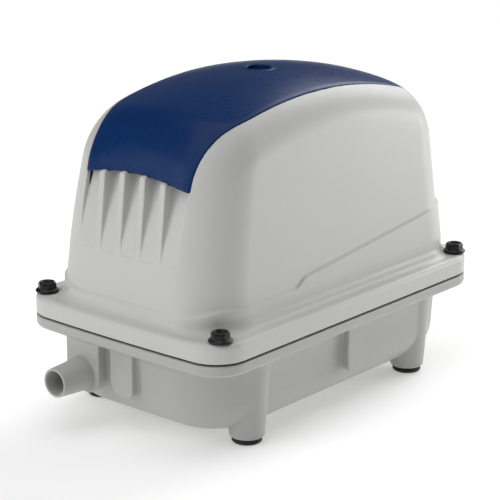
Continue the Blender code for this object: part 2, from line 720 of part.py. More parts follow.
def lower_tank(finish):
    edge = [(RIM_BOTTOM, 3.2 * MM), (RIM_BOTTOM + 1.2 * MM, 0.9 * MM),
            (RIM_BOTTOM + 3 * MM, 0.0), (RIM_TOP, 0.0)]
    rim_loops = [level(inset_rectangle(FLANGE_HALF_X, FLANGE_HALF_Y, FLANGE_CORNER, inset, FLANGE_BOW), z)
                 for z, inset in edge]
    tank = loft("lower_tank", rim_loops, finish)
    heights = [TANK_FLOOR + TANK_BOTTOM_RADIUS * (1 - math.cos(math.radians(turn)))
               for turn in (0, 25, 50, 90)]
    join(tank, loft("tank_body", [tank_loop(z) for z in heights + [RIM_BOTTOM + 2 * MM]]))
    places = leg_places()
    for number, (x, y) in enumerate(places):
        join(tank, leg(number, x, y))
    block = pad_outline(OUTLET_BLOCK_YS, OUTLET_BLOCK_BOTTOM, OUTLET_BLOCK_CORNER, OUTLET_BLOCK_CORNER)
    end = pad_outline(END_PAD_YS, END_PAD_BOTTOM, PAD_NEAR_CORNER, PAD_FAR_CORNER)
    side = pad_outline(SIDE_PAD_XS, SIDE_PAD_BOTTOM, PAD_NEAR_CORNER, PAD_FAR_CORNER)
    join(tank,
         end_pad("outlet_block", OUTLET_BLOCK_X, block),
         end_pad("end_pad", END_PAD_X, end),
         side_pad("front_pad", -1, side),
         side_pad("rear_pad", 1, side))

    chamber_floor = TANK_FLOOR + TANK_WALL
    bowl = ((chamber_floor, 14 * MM), (chamber_floor + 5 * MM, 5 * MM),
            (chamber_floor + 13 * MM, 1.5 * MM), (PLATE_LEDGE + 4 * MM, 0.0))
    chamber = loft("air_chamber", [
        level(inset_rectangle(CHAMBER_HALF_X, CHAMBER_HALF_Y, CHAMBER_CORNER, inset), z)
        for z, inset in bowl])
    recess_outline = inset_rectangle(PLATE_RECESS_HALF_X, PLATE_RECESS_HALF_Y, PLATE_RECESS_CORNER, 0.0)
    recess = loft("plate_recess",
                  [level(recess_outline, PLATE_LEDGE), level(recess_outline, RIM_TOP + 4 * MM)])
    cut(tank, chamber, recess)
    cut(tank,
        pegs_z("rim_holes", four_corners(BOLT_X, BOLT_Y), BOLT_HOLE_RADIUS, 44 * MM, 60 * MM),
        pegs_z("plate_screw_holes", four_corners(PLATE_SCREW_X, PLATE_SCREW_Y), PLATE_SCREW_HOLE,
               PLATE_SCREW_TIP_Z - 1.5 * MM, PLATE_TOP, 12),
        pegs_z("foot_sockets", places, FOOT_STUD_RADIUS + GAP, FOOT_BOTTOM, FOOT_STUD_TOP + MM, 12),
        turned_x("outlet_hole", [(OUTLET_RADIUS + GAP, OUTLET_BLOCK_X - 5 * MM),
                                 (OUTLET_RADIUS + GAP, OUTLET_INNER_X + 11 * MM)], OUTLET_Y, OUTLET_Z))
    return tank


def outlet_spigot(finish):
    """Slightly conical pipe whose root bears on the tank's outlet block."""
    root = OUTLET_BLOCK_X - GAP
    profile = [(OUTLET_BORE, OUTLET_MOUTH_X), (OUTLET_RADIUS - 0.8 * MM, OUTLET_MOUTH_X),
               (OUTLET_RADIUS, OUTLET_MOUTH_X + 1.2 * MM), (OUTLET_ROOT_RADIUS, root),
               (OUTLET_RADIUS, root), (OUTLET_RADIUS, OUTLET_INNER_X), (OUTLET_BORE, OUTLET_INNER_X)]
    return turned_x("outlet_spigot", profile, OUTLET_Y, OUTLET_Z, finish, 24, ring=True)


def cover_bolt(number, x, y, finish):
    count = 18
    seat = FLANGE_TOP + GAP
    loops = [
        level(circle(BOLT_SHANK_RADIUS - 0.4 * MM, count), BOLT_TIP_Z, x, y),
        level(circle(BOLT_SHANK_RADIUS, count), BOLT_TIP_Z + MM, x, y),
        level(circle(BOLT_SHANK_RADIUS, count), seat, x, y),
        level(circle(BOLT_FLANGE_RADIUS, count), seat, x, y),
        level(circle(BOLT_FLANGE_RADIUS, count), seat + BOLT_FLANGE_HEIGHT - 0.8 * MM, x, y),
        level(circle(BOLT_FLANGE_RADIUS - 0.9 * MM, count), seat + BOLT_FLANGE_HEIGHT - 0.1 * MM, x, y),
        level(hexagon(BOLT_HEX_FLATS, count), seat + BOLT_FLANGE_HEIGHT, x, y),
        level(hexagon(BOLT_HEX_FLATS, count), seat + BOLT_HEAD_HEIGHT - 0.5 * MM, x, y),
        level(circle(BOLT_HEX_FLATS / 2 - 0.3 * MM, count), seat + BOLT_HEAD_HEIGHT, x, y),
        level(circle(BOLT_HEX_FLATS / 2 - 1.6 * MM, count), seat + BOLT_HEAD_HEIGHT, x, y),
        level(circle(BOLT_HEX_FLATS / 2 - 2.2 * MM, count), seat + BOLT_HEAD_HEIGHT - MM, x, y),
    ]
    return loft(f"cover_bolt_{number}", loops, finish)


def rubber_foot(number, x, y, finish):
    top = LEG_BOTTOM - GAP
    profile = [(FOOT_RADIUS - 0.8 * MM, FOOT_BOTTOM), (FOOT_RADIUS, FOOT_BOTTOM + 0.8 * MM),
               (FOOT_RADIUS, top - 0.6 * MM), (FOOT_RADIUS - 0.5 * MM, top), (FOOT_STUD_RADIUS, top),
               (FOOT_STUD_RADIUS, FOOT_STUD_TOP - 0.8 * MM), (FOOT_STUD_RADIUS - 0.8 * MM, FOOT_STUD_TOP)]
    return turned_z(f"rubber_foot_{number}", profile, x, y, finish)


def tank_plate(finish):
    outline = inset_rectangle(PLATE_RECESS_HALF_X, PLATE_RECESS_HALF_Y, PLATE_RECESS_CORNER, GAP)
    below = PLATE_BOTTOM - 5 * MM
    above = PLATE_TOP + 5 * MM
    plate = loft("tank_plate", [level(outline, PLATE_BOTTOM), level(outline, PLATE_TOP)], finish)
    cut(plate,
        pegs_z("tube_holes", [(-NIPPLE_X, 0.0), (NIPPLE_X, 0.0)], TUBE_RADIUS + GAP, below, above, 20),
        pegs_z("plate_holes", four_corners(PLATE_SCREW_X, PLATE_SCREW_Y), PLATE_SCREW_HOLE, below, above, 12))
    return plate


def plate_screw(number, x, y, finish):
    seat = PLATE_TOP + GAP
    profile = [(PLATE_SCREW_RADIUS - 0.4 * MM, PLATE_SCREW_TIP_Z),
               (PLATE_SCREW_RADIUS, PLATE_SCREW_TIP_Z + MM),
               (PLATE_SCREW_RADIUS, seat), (PLATE_SCREW_HEAD_RADIUS, seat),
               (PLATE_SCREW_HEAD_RADIUS, seat + 1.2 * MM),
               (PLATE_SCREW_HEAD_RADIUS - 1.4 * MM, seat + 2.3 * MM)]
    return turned_z(f"plate_screw_{number}", profile, x, y, finish, 12)


def motor_bracket(finish):
    outline = [
        (-BRACKET_HALF_X, BRACKET_BOTTOM), (BRACKET_HALF_X, BRACKET_BOTTOM),
        (BRACKET_HALF_X, BRACKET_FLOOR), (END_WALL_OUTER, BRACKET_FLOOR),
        (END_WALL_OUTER, BRACKET_TOP), (END_WALL_INNER, BRACKET_TOP),
        (END_WALL_INNER, BRACKET_FLOOR), (-END_WALL_INNER, BRACKET_FLOOR),
        (-END_WALL_INNER, BRACKET_TOP), (-END_WALL_OUTER, BRACKET_TOP),
        (-END_WALL_OUTER, BRACKET_FLOOR), (-BRACKET_HALF_X, BRACKET_FLOOR),
    ]
    half = BRACKET_HALF_Y
    bracket = loft("motor_bracket", [along_y(outline, -half), along_y(outline, half)], finish)
    reach = END_WALL_OUTER + 8 * MM
    cut(bracket, turned_x("wall_holes", [(END_WALL_HOLE, -reach), (END_WALL_HOLE, reach)], 0.0, MOTOR_Z))
    core_bottom = MOTOR_Z - CORE_HALF_STACK - GAP
    posts = []
    for x_side in (-1, 1):
        for y_side in (-1, 1):
            xs = sorted((x_side * CORE_POST_XS[0], x_side * CORE_POST_XS[1]))
            ys = sorted((y_side * CORE_POST_YS[0], y_side * CORE_POST_YS[1]))
            posts.append(((xs[0], ys[0], BRACKET_FLOOR - MM), (xs[1], ys[1], core_bottom)))
    join(bracket, boxes("core_posts", posts))
    return bracket


def rubber_damper(number, x, y, finish):
    low = PLATE_TOP + GAP
    high = BRACKET_BOTTOM - GAP
    waist = DAMPER_RADIUS - 2 * MM
    middle = (low + high) / 2
    profile = [(DAMPER_RADIUS, low), (DAMPER_RADIUS, low + 3 * MM), (waist, middle - 2 * MM),
               (waist, middle + 2 * MM), (DAMPER_RADIUS, high - 3 * MM), (DAMPER_RADIUS, high)]
    return turned_z(f"rubber_damper_{number}", profile, x, y, finish)


def laminated_core(name, side, finish):
    outline = [
        (-CORE_HALF_LENGTH, CORE_POLE_Y), (-OUTER_POLE_INNER, CORE_POLE_Y),
        (-OUTER_POLE_INNER, CORE_BACK_Y), (-CENTRE_POLE_HALF, CORE_BACK_Y),
        (-CENTRE_POLE_HALF, CORE_POLE_Y), (CENTRE_POLE_HALF, CORE_POLE_Y),
        (CENTRE_POLE_HALF, CORE_BACK_Y), (OUTER_POLE_INNER, CORE_BACK_Y),
        (OUTER_POLE_INNER, CORE_POLE_Y), (CORE_HALF_LENGTH, CORE_POLE_Y),
        (CORE_HALF_LENGTH, CORE_OUTER_Y), (-CORE_HALF_LENGTH, CORE_OUTER_Y),
    ]
    outline = [(x, side * y) for x, y in outline]
    planes = (MOTOR_Z - CORE_HALF_STACK, MOTOR_Z + CORE_HALF_STACK)
    return loft(name, [level(outline, z) for z in planes], finish)


def coil_bobbin(name, side, finish):
    bore_x = CENTRE_POLE_HALF + GAP
    bore_z = CORE_HALF_STACK + GAP
    bore = rounded_rectangle(bore_x, bore_z, 0.5 * MM, 2)
    tube = rounded_rectangle(bore_x + BOBBIN_WALL, bore_z + BOBBIN_WALL, 1.5 * MM, 2)
    flange = rounded_rectangle(BOBBIN_HALF_X, BOBBIN_HALF_Z, 3 * MM, 2)
    stations = [
        (bore, BOBBIN_NEAR_Y), (flange, BOBBIN_NEAR_Y), (flange, BOBBIN_NEAR_Y + BOBBIN_WALL),
        (tube, BOBBIN_NEAR_Y + BOBBIN_WALL), (tube, BOBBIN_FAR_Y - BOBBIN_WALL),
        (flange, BOBBIN_FAR_Y - BOBBIN_WALL), (flange, BOBBIN_FAR_Y), (bore, BOBBIN_FAR_Y),
    ]
    loops = [along_y(outline, side * y, 0.0, MOTOR_Z) for outline, y in stations]
    return loft(name, loops, finish, ring=True)


def coil_winding(name, side, finish):
    inner = rounded_rectangle(CENTRE_POLE_HALF + 2 * GAP + BOBBIN_WALL,
                              CORE_HALF_STACK + 2 * GAP + BOBBIN_WALL, 1.5 * MM, 3)
    outer = rounded_rectangle(BOBBIN_HALF_X - MM, BOBBIN_HALF_Z - MM, 6 * MM, 3)
    near = BOBBIN_NEAR_Y + BOBBIN_WALL + GAP
    far = BOBBIN_FAR_Y - BOBBIN_WALL - GAP
    stations = [(inner, near), (outer, near), (outer, far), (inner, far)]
    loops = [along_y(outline, side * y, 0.0, MOTOR_Z) for outline, y in stations]
    return loft(name, loops, finish, ring=True)


def vibrator_rod(finish):
    rod = box("vibrator_rod", (-HOLDER_HALF_X, -HOLDER_HALF_Y, MOTOR_Z - HOLDER_HALF_Z),
              (HOLDER_HALF_X, HOLDER_HALF_Y, MOTOR_Z + HOLDER_HALF_Z), finish)
    for side, tag in ((-1, "left"), (1, "right")):
        profile = [(ROD_RADIUS, side * (HOLDER_HALF_X - 2 * MM)), (ROD_RADIUS, side * ROD_SHOULDER_X),
                   (ROD_THREAD_RADIUS, side * ROD_SHOULDER_X),
                   (ROD_THREAD_RADIUS, side * (ROD_END_X - 0.8 * MM)),
                   (ROD_THREAD_RADIUS - 0.8 * MM, side * ROD_END_X)]
        join(rod, turned_x(f"rod_{tag}", profile, 0.0, MOTOR_Z, None, 16))
    windows = []
    for side in (-1, 1):
        x = side * MAGNET_X
        windows.append(((x - MAGNET_HALF_X - GAP, -2 * HOLDER_HALF_Y, MOTOR_Z - MAGNET_HALF_Z - GAP),
                        (x + MAGNET_HALF_X + GAP, 2 * HOLDER_HALF_Y, MOTOR_Z + MAGNET_HALF_Z + GAP)))
    cut(rod, boxes("magnet_windows", windows))
    return rod


def magnet(name, side, finish):
    x = side * MAGNET_X
    outline = rounded_rectangle(MAGNET_HALF_X, MAGNET_HALF_Z, 0.8 * MM, 1)
    return loft(name, [along_y(outline, y, x, MOTOR_Z) for y in (-MAGNET_HALF_Y, MAGNET_HALF_Y)], finish)


def motor_ring(name, side, faces, outer, bore, finish, count=20):
    low, high = (side * face for face in faces)
    profile = [(bore, low), (outer, low), (outer, high), (bore, high)]
    return turned_x(name, profile, 0.0, MOTOR_Z, finish, count, ring=True)


def diaphragm(name, side, finish):
    low, high = DIAPHRAGM_FACES
    bulge = 2 * MM
    radii = [17.6 * MM, 19.2 * MM, 21.6 * MM, 23.2 * MM]
    rises = [0.0, bulge, bulge, 0.0]
    front = [(DISC_BORE, low)] + [(radius, low - rise) for radius, rise in zip(radii, rises)]
    back = [(radius, high - rise) for radius, rise in zip(reversed(radii), rises)] + [(DISC_BORE, high)]
    profile = front + [(DIAPHRAGM_RADIUS, low), (DIAPHRAGM_RADIUS, high)] + back
    turned = [(radius, side * x) for radius, x in profile]
    return turned_x(name, turned, 0.0, MOTOR_Z, finish, 20, ring=True)


def lock_nut(name, side, finish):
    low, high = (side * face for face in NUT_FACES)
    count = 12
    hole = circle(DISC_BORE, count)
    flats = hexagon(NUT_FLATS, count)
    loops = [along_x(hole, low, 0.0, MOTOR_Z), along_x(flats, low, 0.0, MOTOR_Z),
             along_x(flats, high, 0.0, MOTOR_Z), along_x(hole, high, 0.0, MOTOR_Z)]
    return loft(name, loops, finish, ring=True)


def pump_head(name, side, finish):
    front, back = HEAD_FACES
    outline = rounded_rectangle(HEAD_HALF, HEAD_HALF, 6 * MM, 3)
    head = loft(name, [along_x(outline, side * x, 0.0, MOTOR_Z) for x in (front, back)], finish)
    cut(head, turned_x(f"{name}_chamber", [(HEAD_CHAMBER_RADIUS, side * (front - 3 * MM)),
                                           (HEAD_CHAMBER_RADIUS, side * CHAMBER_BACK)], 0.0, MOTOR_Z))
    xs = sorted((side * VALVE_WALL_BACK, side * (back + 3 * MM)))
    half_y = HEAD_HALF - 3.5 * MM
    rooms = [((xs[0], -half_y, MOTOR_Z + 1.5 * MM), (xs[1], half_y, MOTOR_Z + half_y)),
             ((xs[0], -half_y, MOTOR_Z - half_y), (xs[1], half_y, MOTOR_Z - 1.5 * MM))]
    cut(head, boxes(f"{name}_rooms", rooms))
    shape = bmesh.new()
    for z in (MOTOR_Z + VALVE_OFFSET_Z, MOTOR_Z - VALVE_OFFSET_Z):
        port = circle(VALVE_PORT_RADIUS, 12)
        add_loft(shape, [along_x(port, side * (CHAMBER_BACK - 2 * MM), 0.0, z),
                         along_x(port, side * (VALVE_WALL_BACK + 2 * MM), 0.0, z)])
    cut(head, make_object(f"{name}_ports", shape))
    place = [(side * NIPPLE_X, 0.0)]
    low = MOTOR_Z - HEAD_HALF
    high = MOTOR_Z + HEAD_HALF
    join(head, pegs_z(f"{name}_nipple", place, NIPPLE_RADIUS, NIPPLE_BOTTOM, low + 2 * MM, 14))
    cut(head,
        pegs_z(f"{name}_outlet", place, NIPPLE_BORE, NIPPLE_BOTTOM - 4 * MM, low + 6 * MM, 12),
        pegs_z(f"{name}_inlet", place, HEAD_INLET_RADIUS, high - 6 * MM, high + 3 * MM, 14))
    return head


def head_cover(name, side, finish):
    low = HEAD_FACES[1] + GAP
    outline = rounded_rectangle(HEAD_HALF, HEAD_HALF, 6 * MM, 3)
    top = rounded_rectangle(HEAD_HALF - MM, HEAD_HALF - MM, 5 * MM, 3)
    return loft(name, [along_x(outline, side * low, 0.0, MOTOR_Z),
                       along_x(outline, side * (low + HEAD_COVER_THICK - 0.8 * MM), 0.0, MOTOR_Z),
                       along_x(top, side * (low + HEAD_COVER_THICK), 0.0, MOTOR_Z)], finish)


def valve_flap(name, side, wall_face, outward, z, finish):
    """Rubber leaf whose upper edge is its hinge. It lies beside one face of the valve wall."""
    near = wall_face + outward * GAP
    far = near + outward * FLAP_THICK
    outline = rounded_rectangle(FLAP_HALF_Y, FLAP_HALF_Z, 3 * MM, 2)
    hinge_z = z + FLAP_HALF_Z
    loops = [along_x([(y, v - FLAP_HALF_Z) for y, v in outline], side * (x - (near + far) / 2))
             for x in (near, far)]
    flap = loft(name, loops, finish)
    flap.location = (side * (near + far) / 2, 0.0, hinge_z)
    return flap


def delivery_tube(name, side, finish):
    high = MOTOR_Z - HEAD_HALF - GAP
    profile = [(TUBE_BORE, TUBE_BOTTOM), (TUBE_RADIUS, TUBE_BOTTOM), (TUBE_RADIUS, PLATE_BOTTOM),
               (TUBE_RADIUS, high), (TUBE_BORE, high)]
    return turned_z(name, profile, side * NIPPLE_X, 0.0, finish, 18, ring=True)


def safety_switch(finish):
    low = BRACKET_FLOOR + GAP
    block = box("safety_switch", (-SWITCH_HALF_X, -SWITCH_HALF_Y, low),
                (SWITCH_HALF_X, SWITCH_HALF_Y, SWITCH_TOP), finish)
    ears = []
    for side in (-1, 1):
        ys = sorted((side * 3.4 * MM, side * 4.9 * MM))
        ears.append(((LEVER_PIVOT_X - 2.2 * MM, ys[0], SWITCH_TOP - MM),
                     (LEVER_PIVOT_X + 2.2 * MM, ys[1], LEVER_PIVOT_Z + 2.2 * MM)))
    join(block, boxes("switch_ears", ears))
    hole = circle(1.2 * MM, 10)
    cut(block, loft("switch_pin_hole", [along_y(hole, -8 * MM, LEVER_PIVOT_X, LEVER_PIVOT_Z),
                                        along_y(hole, 8 * MM, LEVER_PIVOT_X, LEVER_PIVOT_Z)]))
    return block


def safety_lever(finish):
    """Trip lever. Its origin is on the pivot of its two pins."""
    outline = [(-1.5 * MM, -0.8 * MM), (21 * MM, -0.8 * MM), (21 * MM, 3.6 * MM), (19.6 * MM, 3.6 * MM),
               (18.6 * MM, 0.7 * MM), (1.5 * MM, 0.7 * MM), (0.9 * MM, 1.4 * MM), (-0.9 * MM, 1.4 * MM),
               (-1.5 * MM, 0.7 * MM)]
    lever = loft("safety_lever", [along_y(outline, -3 * MM), along_y(outline, 3 * MM)], finish)
    pin = circle(0.8 * MM, 10)
    pins = loft("lever_pins", [along_y(pin, -4.6 * MM), along_y(pin, 4.6 * MM)])
    pins.parent = lever
    join(lever, pins)
    lever.location = (LEVER_PIVOT_X, 0.0, LEVER_PIVOT_Z)
    return lever


def terminal_block(finish):
    low = PLATE_TOP + GAP
    base = low + TERMINAL_BASE_HEIGHT
    block = box("terminal_block", (*TERMINAL_LOW, low), (*TERMINAL_HIGH, base), finish)
    low_x = TERMINAL_LOW[0] + 2 * MM
    high_x = TERMINAL_HIGH[0] - 2 * MM
    ridges = [((low_x, y - 3.6 * MM, base - MM), (high_x, y + 3.6 * MM, low + TERMINAL_RIDGE_HEIGHT))
              for y in TERMINAL_YS]
    join(block, boxes("terminal_ridges", ridges))
    wells = [((low_x + high_x) / 2, y) for y in TERMINAL_YS]
    cut(block, pegs_z("terminal_screw_wells", wells, 2 * MM, base, low + TERMINAL_RIDGE_HEIGHT + 3 * MM, 10))
    return block


def cord_gland(finish):
    profile = [(GLAND_BORE, GLAND_INNER_X), (GLAND_NECK_RADIUS, GLAND_INNER_X),
               (GLAND_NECK_RADIUS, GLAND_SEAT_X), (GLAND_COLLAR_RADIUS, GLAND_SEAT_X),
               (GLAND_COLLAR_RADIUS, GLAND_SEAT_X + 2 * MM), (GLAND_COLLAR_RADIUS - 0.9 * MM, GLAND_END_X),
               (GLAND_BORE, GLAND_END_X)]
    return turned_x("cord_gland", profile, GLAND_Y, GLAND_Z, finish, 20, ring=True)


def build():
    clear_scene()
    shell = material("housing_plastic", (0.72, 0.72, 0.70), 0.42)
    tank_grey = material("tank_plastic", (0.66, 0.66, 0.64), 0.45)
    blue = material("cover_plastic", (0.012, 0.035, 0.13), 0.3)
    black_steel = material("black_steel", (0.01, 0.01, 0.01), 0.4, 0.6)
    rubber = material("black_rubber", (0.015, 0.015, 0.015), 0.8)
    foam = material("filter_foam", (0.08, 0.08, 0.085), 0.95)
    zinc = material("zinc_steel", (0.6, 0.6, 0.58), 0.35, 0.9)
    lamination = material("core_steel", (0.25, 0.25, 0.26), 0.5, 0.8)
    copper = material("copper_wire", (0.75, 0.3, 0.12), 0.35, 0.8)
    nylon = material("bobbin_nylon", (0.75, 0.72, 0.62), 0.5)
    alloy = material("cast_alloy", (0.55, 0.56, 0.57), 0.45, 0.9)
    ferrite = material("magnet_ferrite", (0.05, 0.05, 0.055), 0.4, 0.3)
    black_plastic = material("black_plastic", (0.02, 0.02, 0.02), 0.5)

    upper_housing(shell)
    filter_cover(blue)
    filter_cover_screw(zinc)
    filter_element(foam)
    housing_gasket(rubber)
    lower_tank(tank_grey)
    outlet_spigot(tank_grey)
    for number, (x, y) in enumerate(four_corners(BOLT_X, BOLT_Y), 1):
        cover_bolt(number, x, y, black_steel)
    places = leg_places()
    for number, (x, y) in enumerate(places, 1):
        rubber_foot(number, x, y, rubber)
    tank_plate(alloy)
    for number, (x, y) in enumerate(four_corners(PLATE_SCREW_X, PLATE_SCREW_Y), 1):
        plate_screw(number, x, y, zinc)
    motor_bracket(zinc)
    for number, (x, y) in enumerate(four_corners(DAMPER_X, DAMPER_Y), 1):
        rubber_damper(number, x, y, rubber)
    for side, tag in ((-1, "front"), (1, "rear")):
        laminated_core(f"core_{tag}", side, lamination)
        coil_bobbin(f"coil_bobbin_{tag}", side, nylon)
        coil_winding(f"coil_winding_{tag}", side, copper)
    vibrator_rod(alloy)
    for side, tag in ((-1, "left"), (1, "right")):
        magnet(f"magnet_{tag}", side, ferrite)
        motor_ring(f"diaphragm_ring_{tag}", side, RING_FACES, DIAPHRAGM_RADIUS, RING_BORE, alloy)
        diaphragm(f"diaphragm_{tag}", side, rubber)
        motor_ring(f"inner_disc_{tag}", side, INNER_DISC_FACES, DISC_RADIUS, DISC_BORE, zinc, 18)
        motor_ring(f"outer_disc_{tag}", side, OUTER_DISC_FACES, DISC_RADIUS, DISC_BORE, zinc, 18)
        lock_nut(f"lock_nut_{tag}", side, zinc)
        pump_head(f"pump_head_{tag}", side, alloy)
        head_cover(f"head_cover_{tag}", side, black_plastic)
        valve_flap(f"intake_flap_{tag}", side, CHAMBER_BACK, -1, MOTOR_Z + VALVE_OFFSET_Z, rubber)
        valve_flap(f"exhaust_flap_{tag}", side, VALVE_WALL_BACK, 1, MOTOR_Z - VALVE_OFFSET_Z, rubber)
        delivery_tube(f"delivery_tube_{tag}", side, rubber)
    safety_switch(black_plastic)
    safety_lever(nylon)
    terminal_block(black_plastic)
    cord_gland(rubber)

    pump = bpy.data.objects.new("pump_layout", None)
    bpy.context.collection.objects.link(pump)
    pump.location = (LAYOUT_SHIFT_X, 0.0, LAYOUT_SHIFT_Z)
    for piece in list(bpy.data.objects):
        if piece is not pump and piece.parent is None:
            piece.parent = pump


build()
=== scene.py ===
"""Looks of the air pump: fine surfaces, materials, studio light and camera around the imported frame.

Sizes are in millimetres in the pump's own layout, which is centred on its bolted flange. LAYOUT moves it
to the frame. Moulded shells are implicit surfaces: a field gives the distance to the surface,
negative inside, and a mesh is drawn over the places where it is nought.
"""

import json
import math

import bmesh
import bpy
import numpy as np
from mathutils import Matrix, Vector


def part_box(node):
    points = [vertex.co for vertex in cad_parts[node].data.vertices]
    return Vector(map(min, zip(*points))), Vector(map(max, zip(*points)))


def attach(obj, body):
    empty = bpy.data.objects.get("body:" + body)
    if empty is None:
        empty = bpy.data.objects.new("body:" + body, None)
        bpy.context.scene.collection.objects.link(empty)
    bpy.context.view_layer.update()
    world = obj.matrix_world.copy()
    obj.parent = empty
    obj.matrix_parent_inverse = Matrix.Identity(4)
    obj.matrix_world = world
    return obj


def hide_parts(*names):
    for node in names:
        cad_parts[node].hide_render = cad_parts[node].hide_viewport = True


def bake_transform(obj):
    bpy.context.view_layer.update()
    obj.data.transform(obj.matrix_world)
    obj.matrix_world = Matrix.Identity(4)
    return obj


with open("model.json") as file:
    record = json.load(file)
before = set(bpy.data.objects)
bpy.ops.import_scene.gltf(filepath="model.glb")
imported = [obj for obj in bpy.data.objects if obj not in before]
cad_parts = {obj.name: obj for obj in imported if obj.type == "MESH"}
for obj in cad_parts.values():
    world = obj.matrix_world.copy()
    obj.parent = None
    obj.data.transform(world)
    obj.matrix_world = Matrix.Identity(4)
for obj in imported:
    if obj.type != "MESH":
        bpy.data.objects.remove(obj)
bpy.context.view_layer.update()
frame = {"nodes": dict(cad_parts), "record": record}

import openvdb
from mathutils import Matrix, Vector

MM = 0.001
LAYOUT = (6.7, 0.0, 4.3)

# Fineness of the implicit surfaces
SHELL_VOXEL = 0.6
FIELD_BAND = 3.0
LEAST_AGREEMENT = 0.35
BLOCK = 8
BLOCK_REACH = 1.25

# Flange and rim
FLANGE_HALF_X = 125.0
FLANGE_HALF_Y = 79.5
FLANGE_CORNER = 20.0
FLANGE_BOW = 2.0
FLANGE_BOTTOM = 57.2
FLANGE_TOP = 68.7
RIM_TOP = 56.0
RIM_BOTTOM = 49.0
BOLT_X = 114.0
BOLT_Y = 69.4
BOLT_HOLE = 3.4
BOLT_TIP_Z = 50.5
BOLT_THREAD_Z = 51.2

# Housing skin
SKIN_FOOT = 80.0
SKIN_VENT_END = -118.5
SKIN_VENT_LEAN = 0.055
SKIN_VENT_CURVE = 0.0013
SKIN_FAR_END = 122.0
SKIN_FAR_LEAN = 0.112
SKIN_HALF_Y = 66.8
SKIN_SIDE_LEAN = 0.063
CROWN_Z = 197.8
CROWN_X = -0.8
CROWN_RADIUS_X = 291.0
CROWN_RADIUS_Y = 172.0
SKIN_PLAN_RADIUS = 32.6
SHOULDER_VENT_END = 19.4
SHOULDER_FAR_END = 40.0
SHOULDER_SIDE = 15.8
SHOULDER_BLEND = 40.0
HOUSING_WALL = 3.0
SKIRT_PROUD = 1.5
CREASE_WIDTH = 2.0
SKIRT_FILLET = 6.5
CREASE_LOW_Z = 78.0
CREASE_LOW_RISE = 4.5
CREASE_LOW_START = -119.0
CREASE_LOW_LENGTH = 15.0
CREASE_SLOPE_Z = 87.7
CREASE_SLOPE_X = -35.0
CREASE_SLOPE = 0.106
CREASE_STEP_START = -46.0
CREASE_STEP_LENGTH = 11.0
BOLT_SPOT = 8.4
GLAND_HOLE = 4.0
GLAND_HOLE_X = 100.0

# Filter cover and what lies under it
COVER_THICK = 2.5
COVER_GAP = 0.3
COVER_REBATE = 2.8
COVER_LOWER_Z = 147.0
COVER_LOWER_ARCH = 5.0
COVER_HALF_LOW = 40.4
COVER_HALF_HIGH = 47.8
COVER_FAR_X = 98.0
COVER_SPREAD_START = -112.0
COVER_SPREAD_LENGTH = 50.0
COVER_LOWER_ROUNDING = 1.5
COVER_FAR_ROUNDING = 6.0
VENT_HALF_SPAN = 39.4
VENT_BOTTOM = 105.0
VENT_TOP = 158.0
VENT_LIP_Z = 150.0
VENT_DEPTH = 6.0
RIB_PITCH = 15.87
RIB_HALF_WIDTH = 2.3
RIB_START = 102.0
RIB_BACK_X = -104.0
WELL_HALF_Y = 36.0
WELL_FLOOR = 168.0
WELL_LOW_FLOOR = 150.0
WELL_VENT_X = -103.0
WELL_STEP_X = -55.0
WELL_FAR_X = 62.0
POST_RADIUS = 5.0
POST_TOP = 189.6
POST_HOLE_BOTTOM = 175.0
CUP_RADIUS = 9.5
CUP_BORE = 7.5
CUP_FLOOR = 190.0
CUP_FLOOR_THICK = 2.0
SCREW_HOLE = 2.7
INTAKE_HOLE_X = 40.0
INTAKE_HOLE_RADIUS = 10.0

# Air tank
TANK_HALF_X = 117.3
TANK_HALF_Y = 71.9
TANK_CORNER = 41.6
TANK_FLOOR = 3.1
TANK_DRAFT = 0.057
TANK_BOTTOM_RADIUS = 21.8
TANK_WALL = 4.0
PLATE_LEDGE = 46.0
PLATE_RECESS = (104.0, 61.0, 30.0)
PLATE_SCREW_X = 91.6
PLATE_SCREW_Y = 48.6
PLATE_SCREW_HOLE = 2.3
PLATE_SCREW_DEPTH_Z = 37.0
CHAMBER = (99.0, 57.0, 44.0)
CHAMBER_DRAFT = 0.05
CHAMBER_BOTTOM_RADIUS = 12.0
LEG_X = 79.1
LEG_Y = 59.1
LEG_TOP_RADIUS = 14.1
LEG_TAPER = 0.072
LEG_BOTTOM = -0.8
FOOT_BOTTOM = -4.3
FOOT_RADIUS = 9.0
FOOT_STUD_RADIUS = 3.6
FOOT_STUD_TOP = 5.2
END_PAD_X = -121.0
END_PAD_YS = (-7.0, 11.0)
END_PAD_BOTTOM = 19.4
SIDE_PAD_Y = 76.2
SIDE_PAD_XS = (-5.0, 11.5)
SIDE_PAD_BOTTOM = 20.4
PAD_BACK_X = -105.0
PAD_BACK_Y = 60.0
PAD_NEAR_CORNER = 5.0
PAD_FAR_CORNER = 10.0
OUTLET_Y = 31.4
OUTLET_Z = 28.2
OUTLET_RADIUS = 9.0
OUTLET_ROOT_RADIUS = 10.3
OUTLET_BORE = 7.3
OUTLET_MOUTH_X = -146.4
OUTLET_BLOCK_X = -124.2
OUTLET_BLOCK_YS = (17.4, 44.0)
OUTLET_BLOCK_BOTTOM = 17.0
OUTLET_BLOCK_CORNER = 10.0
OUTLET_INNER_X = -96.0

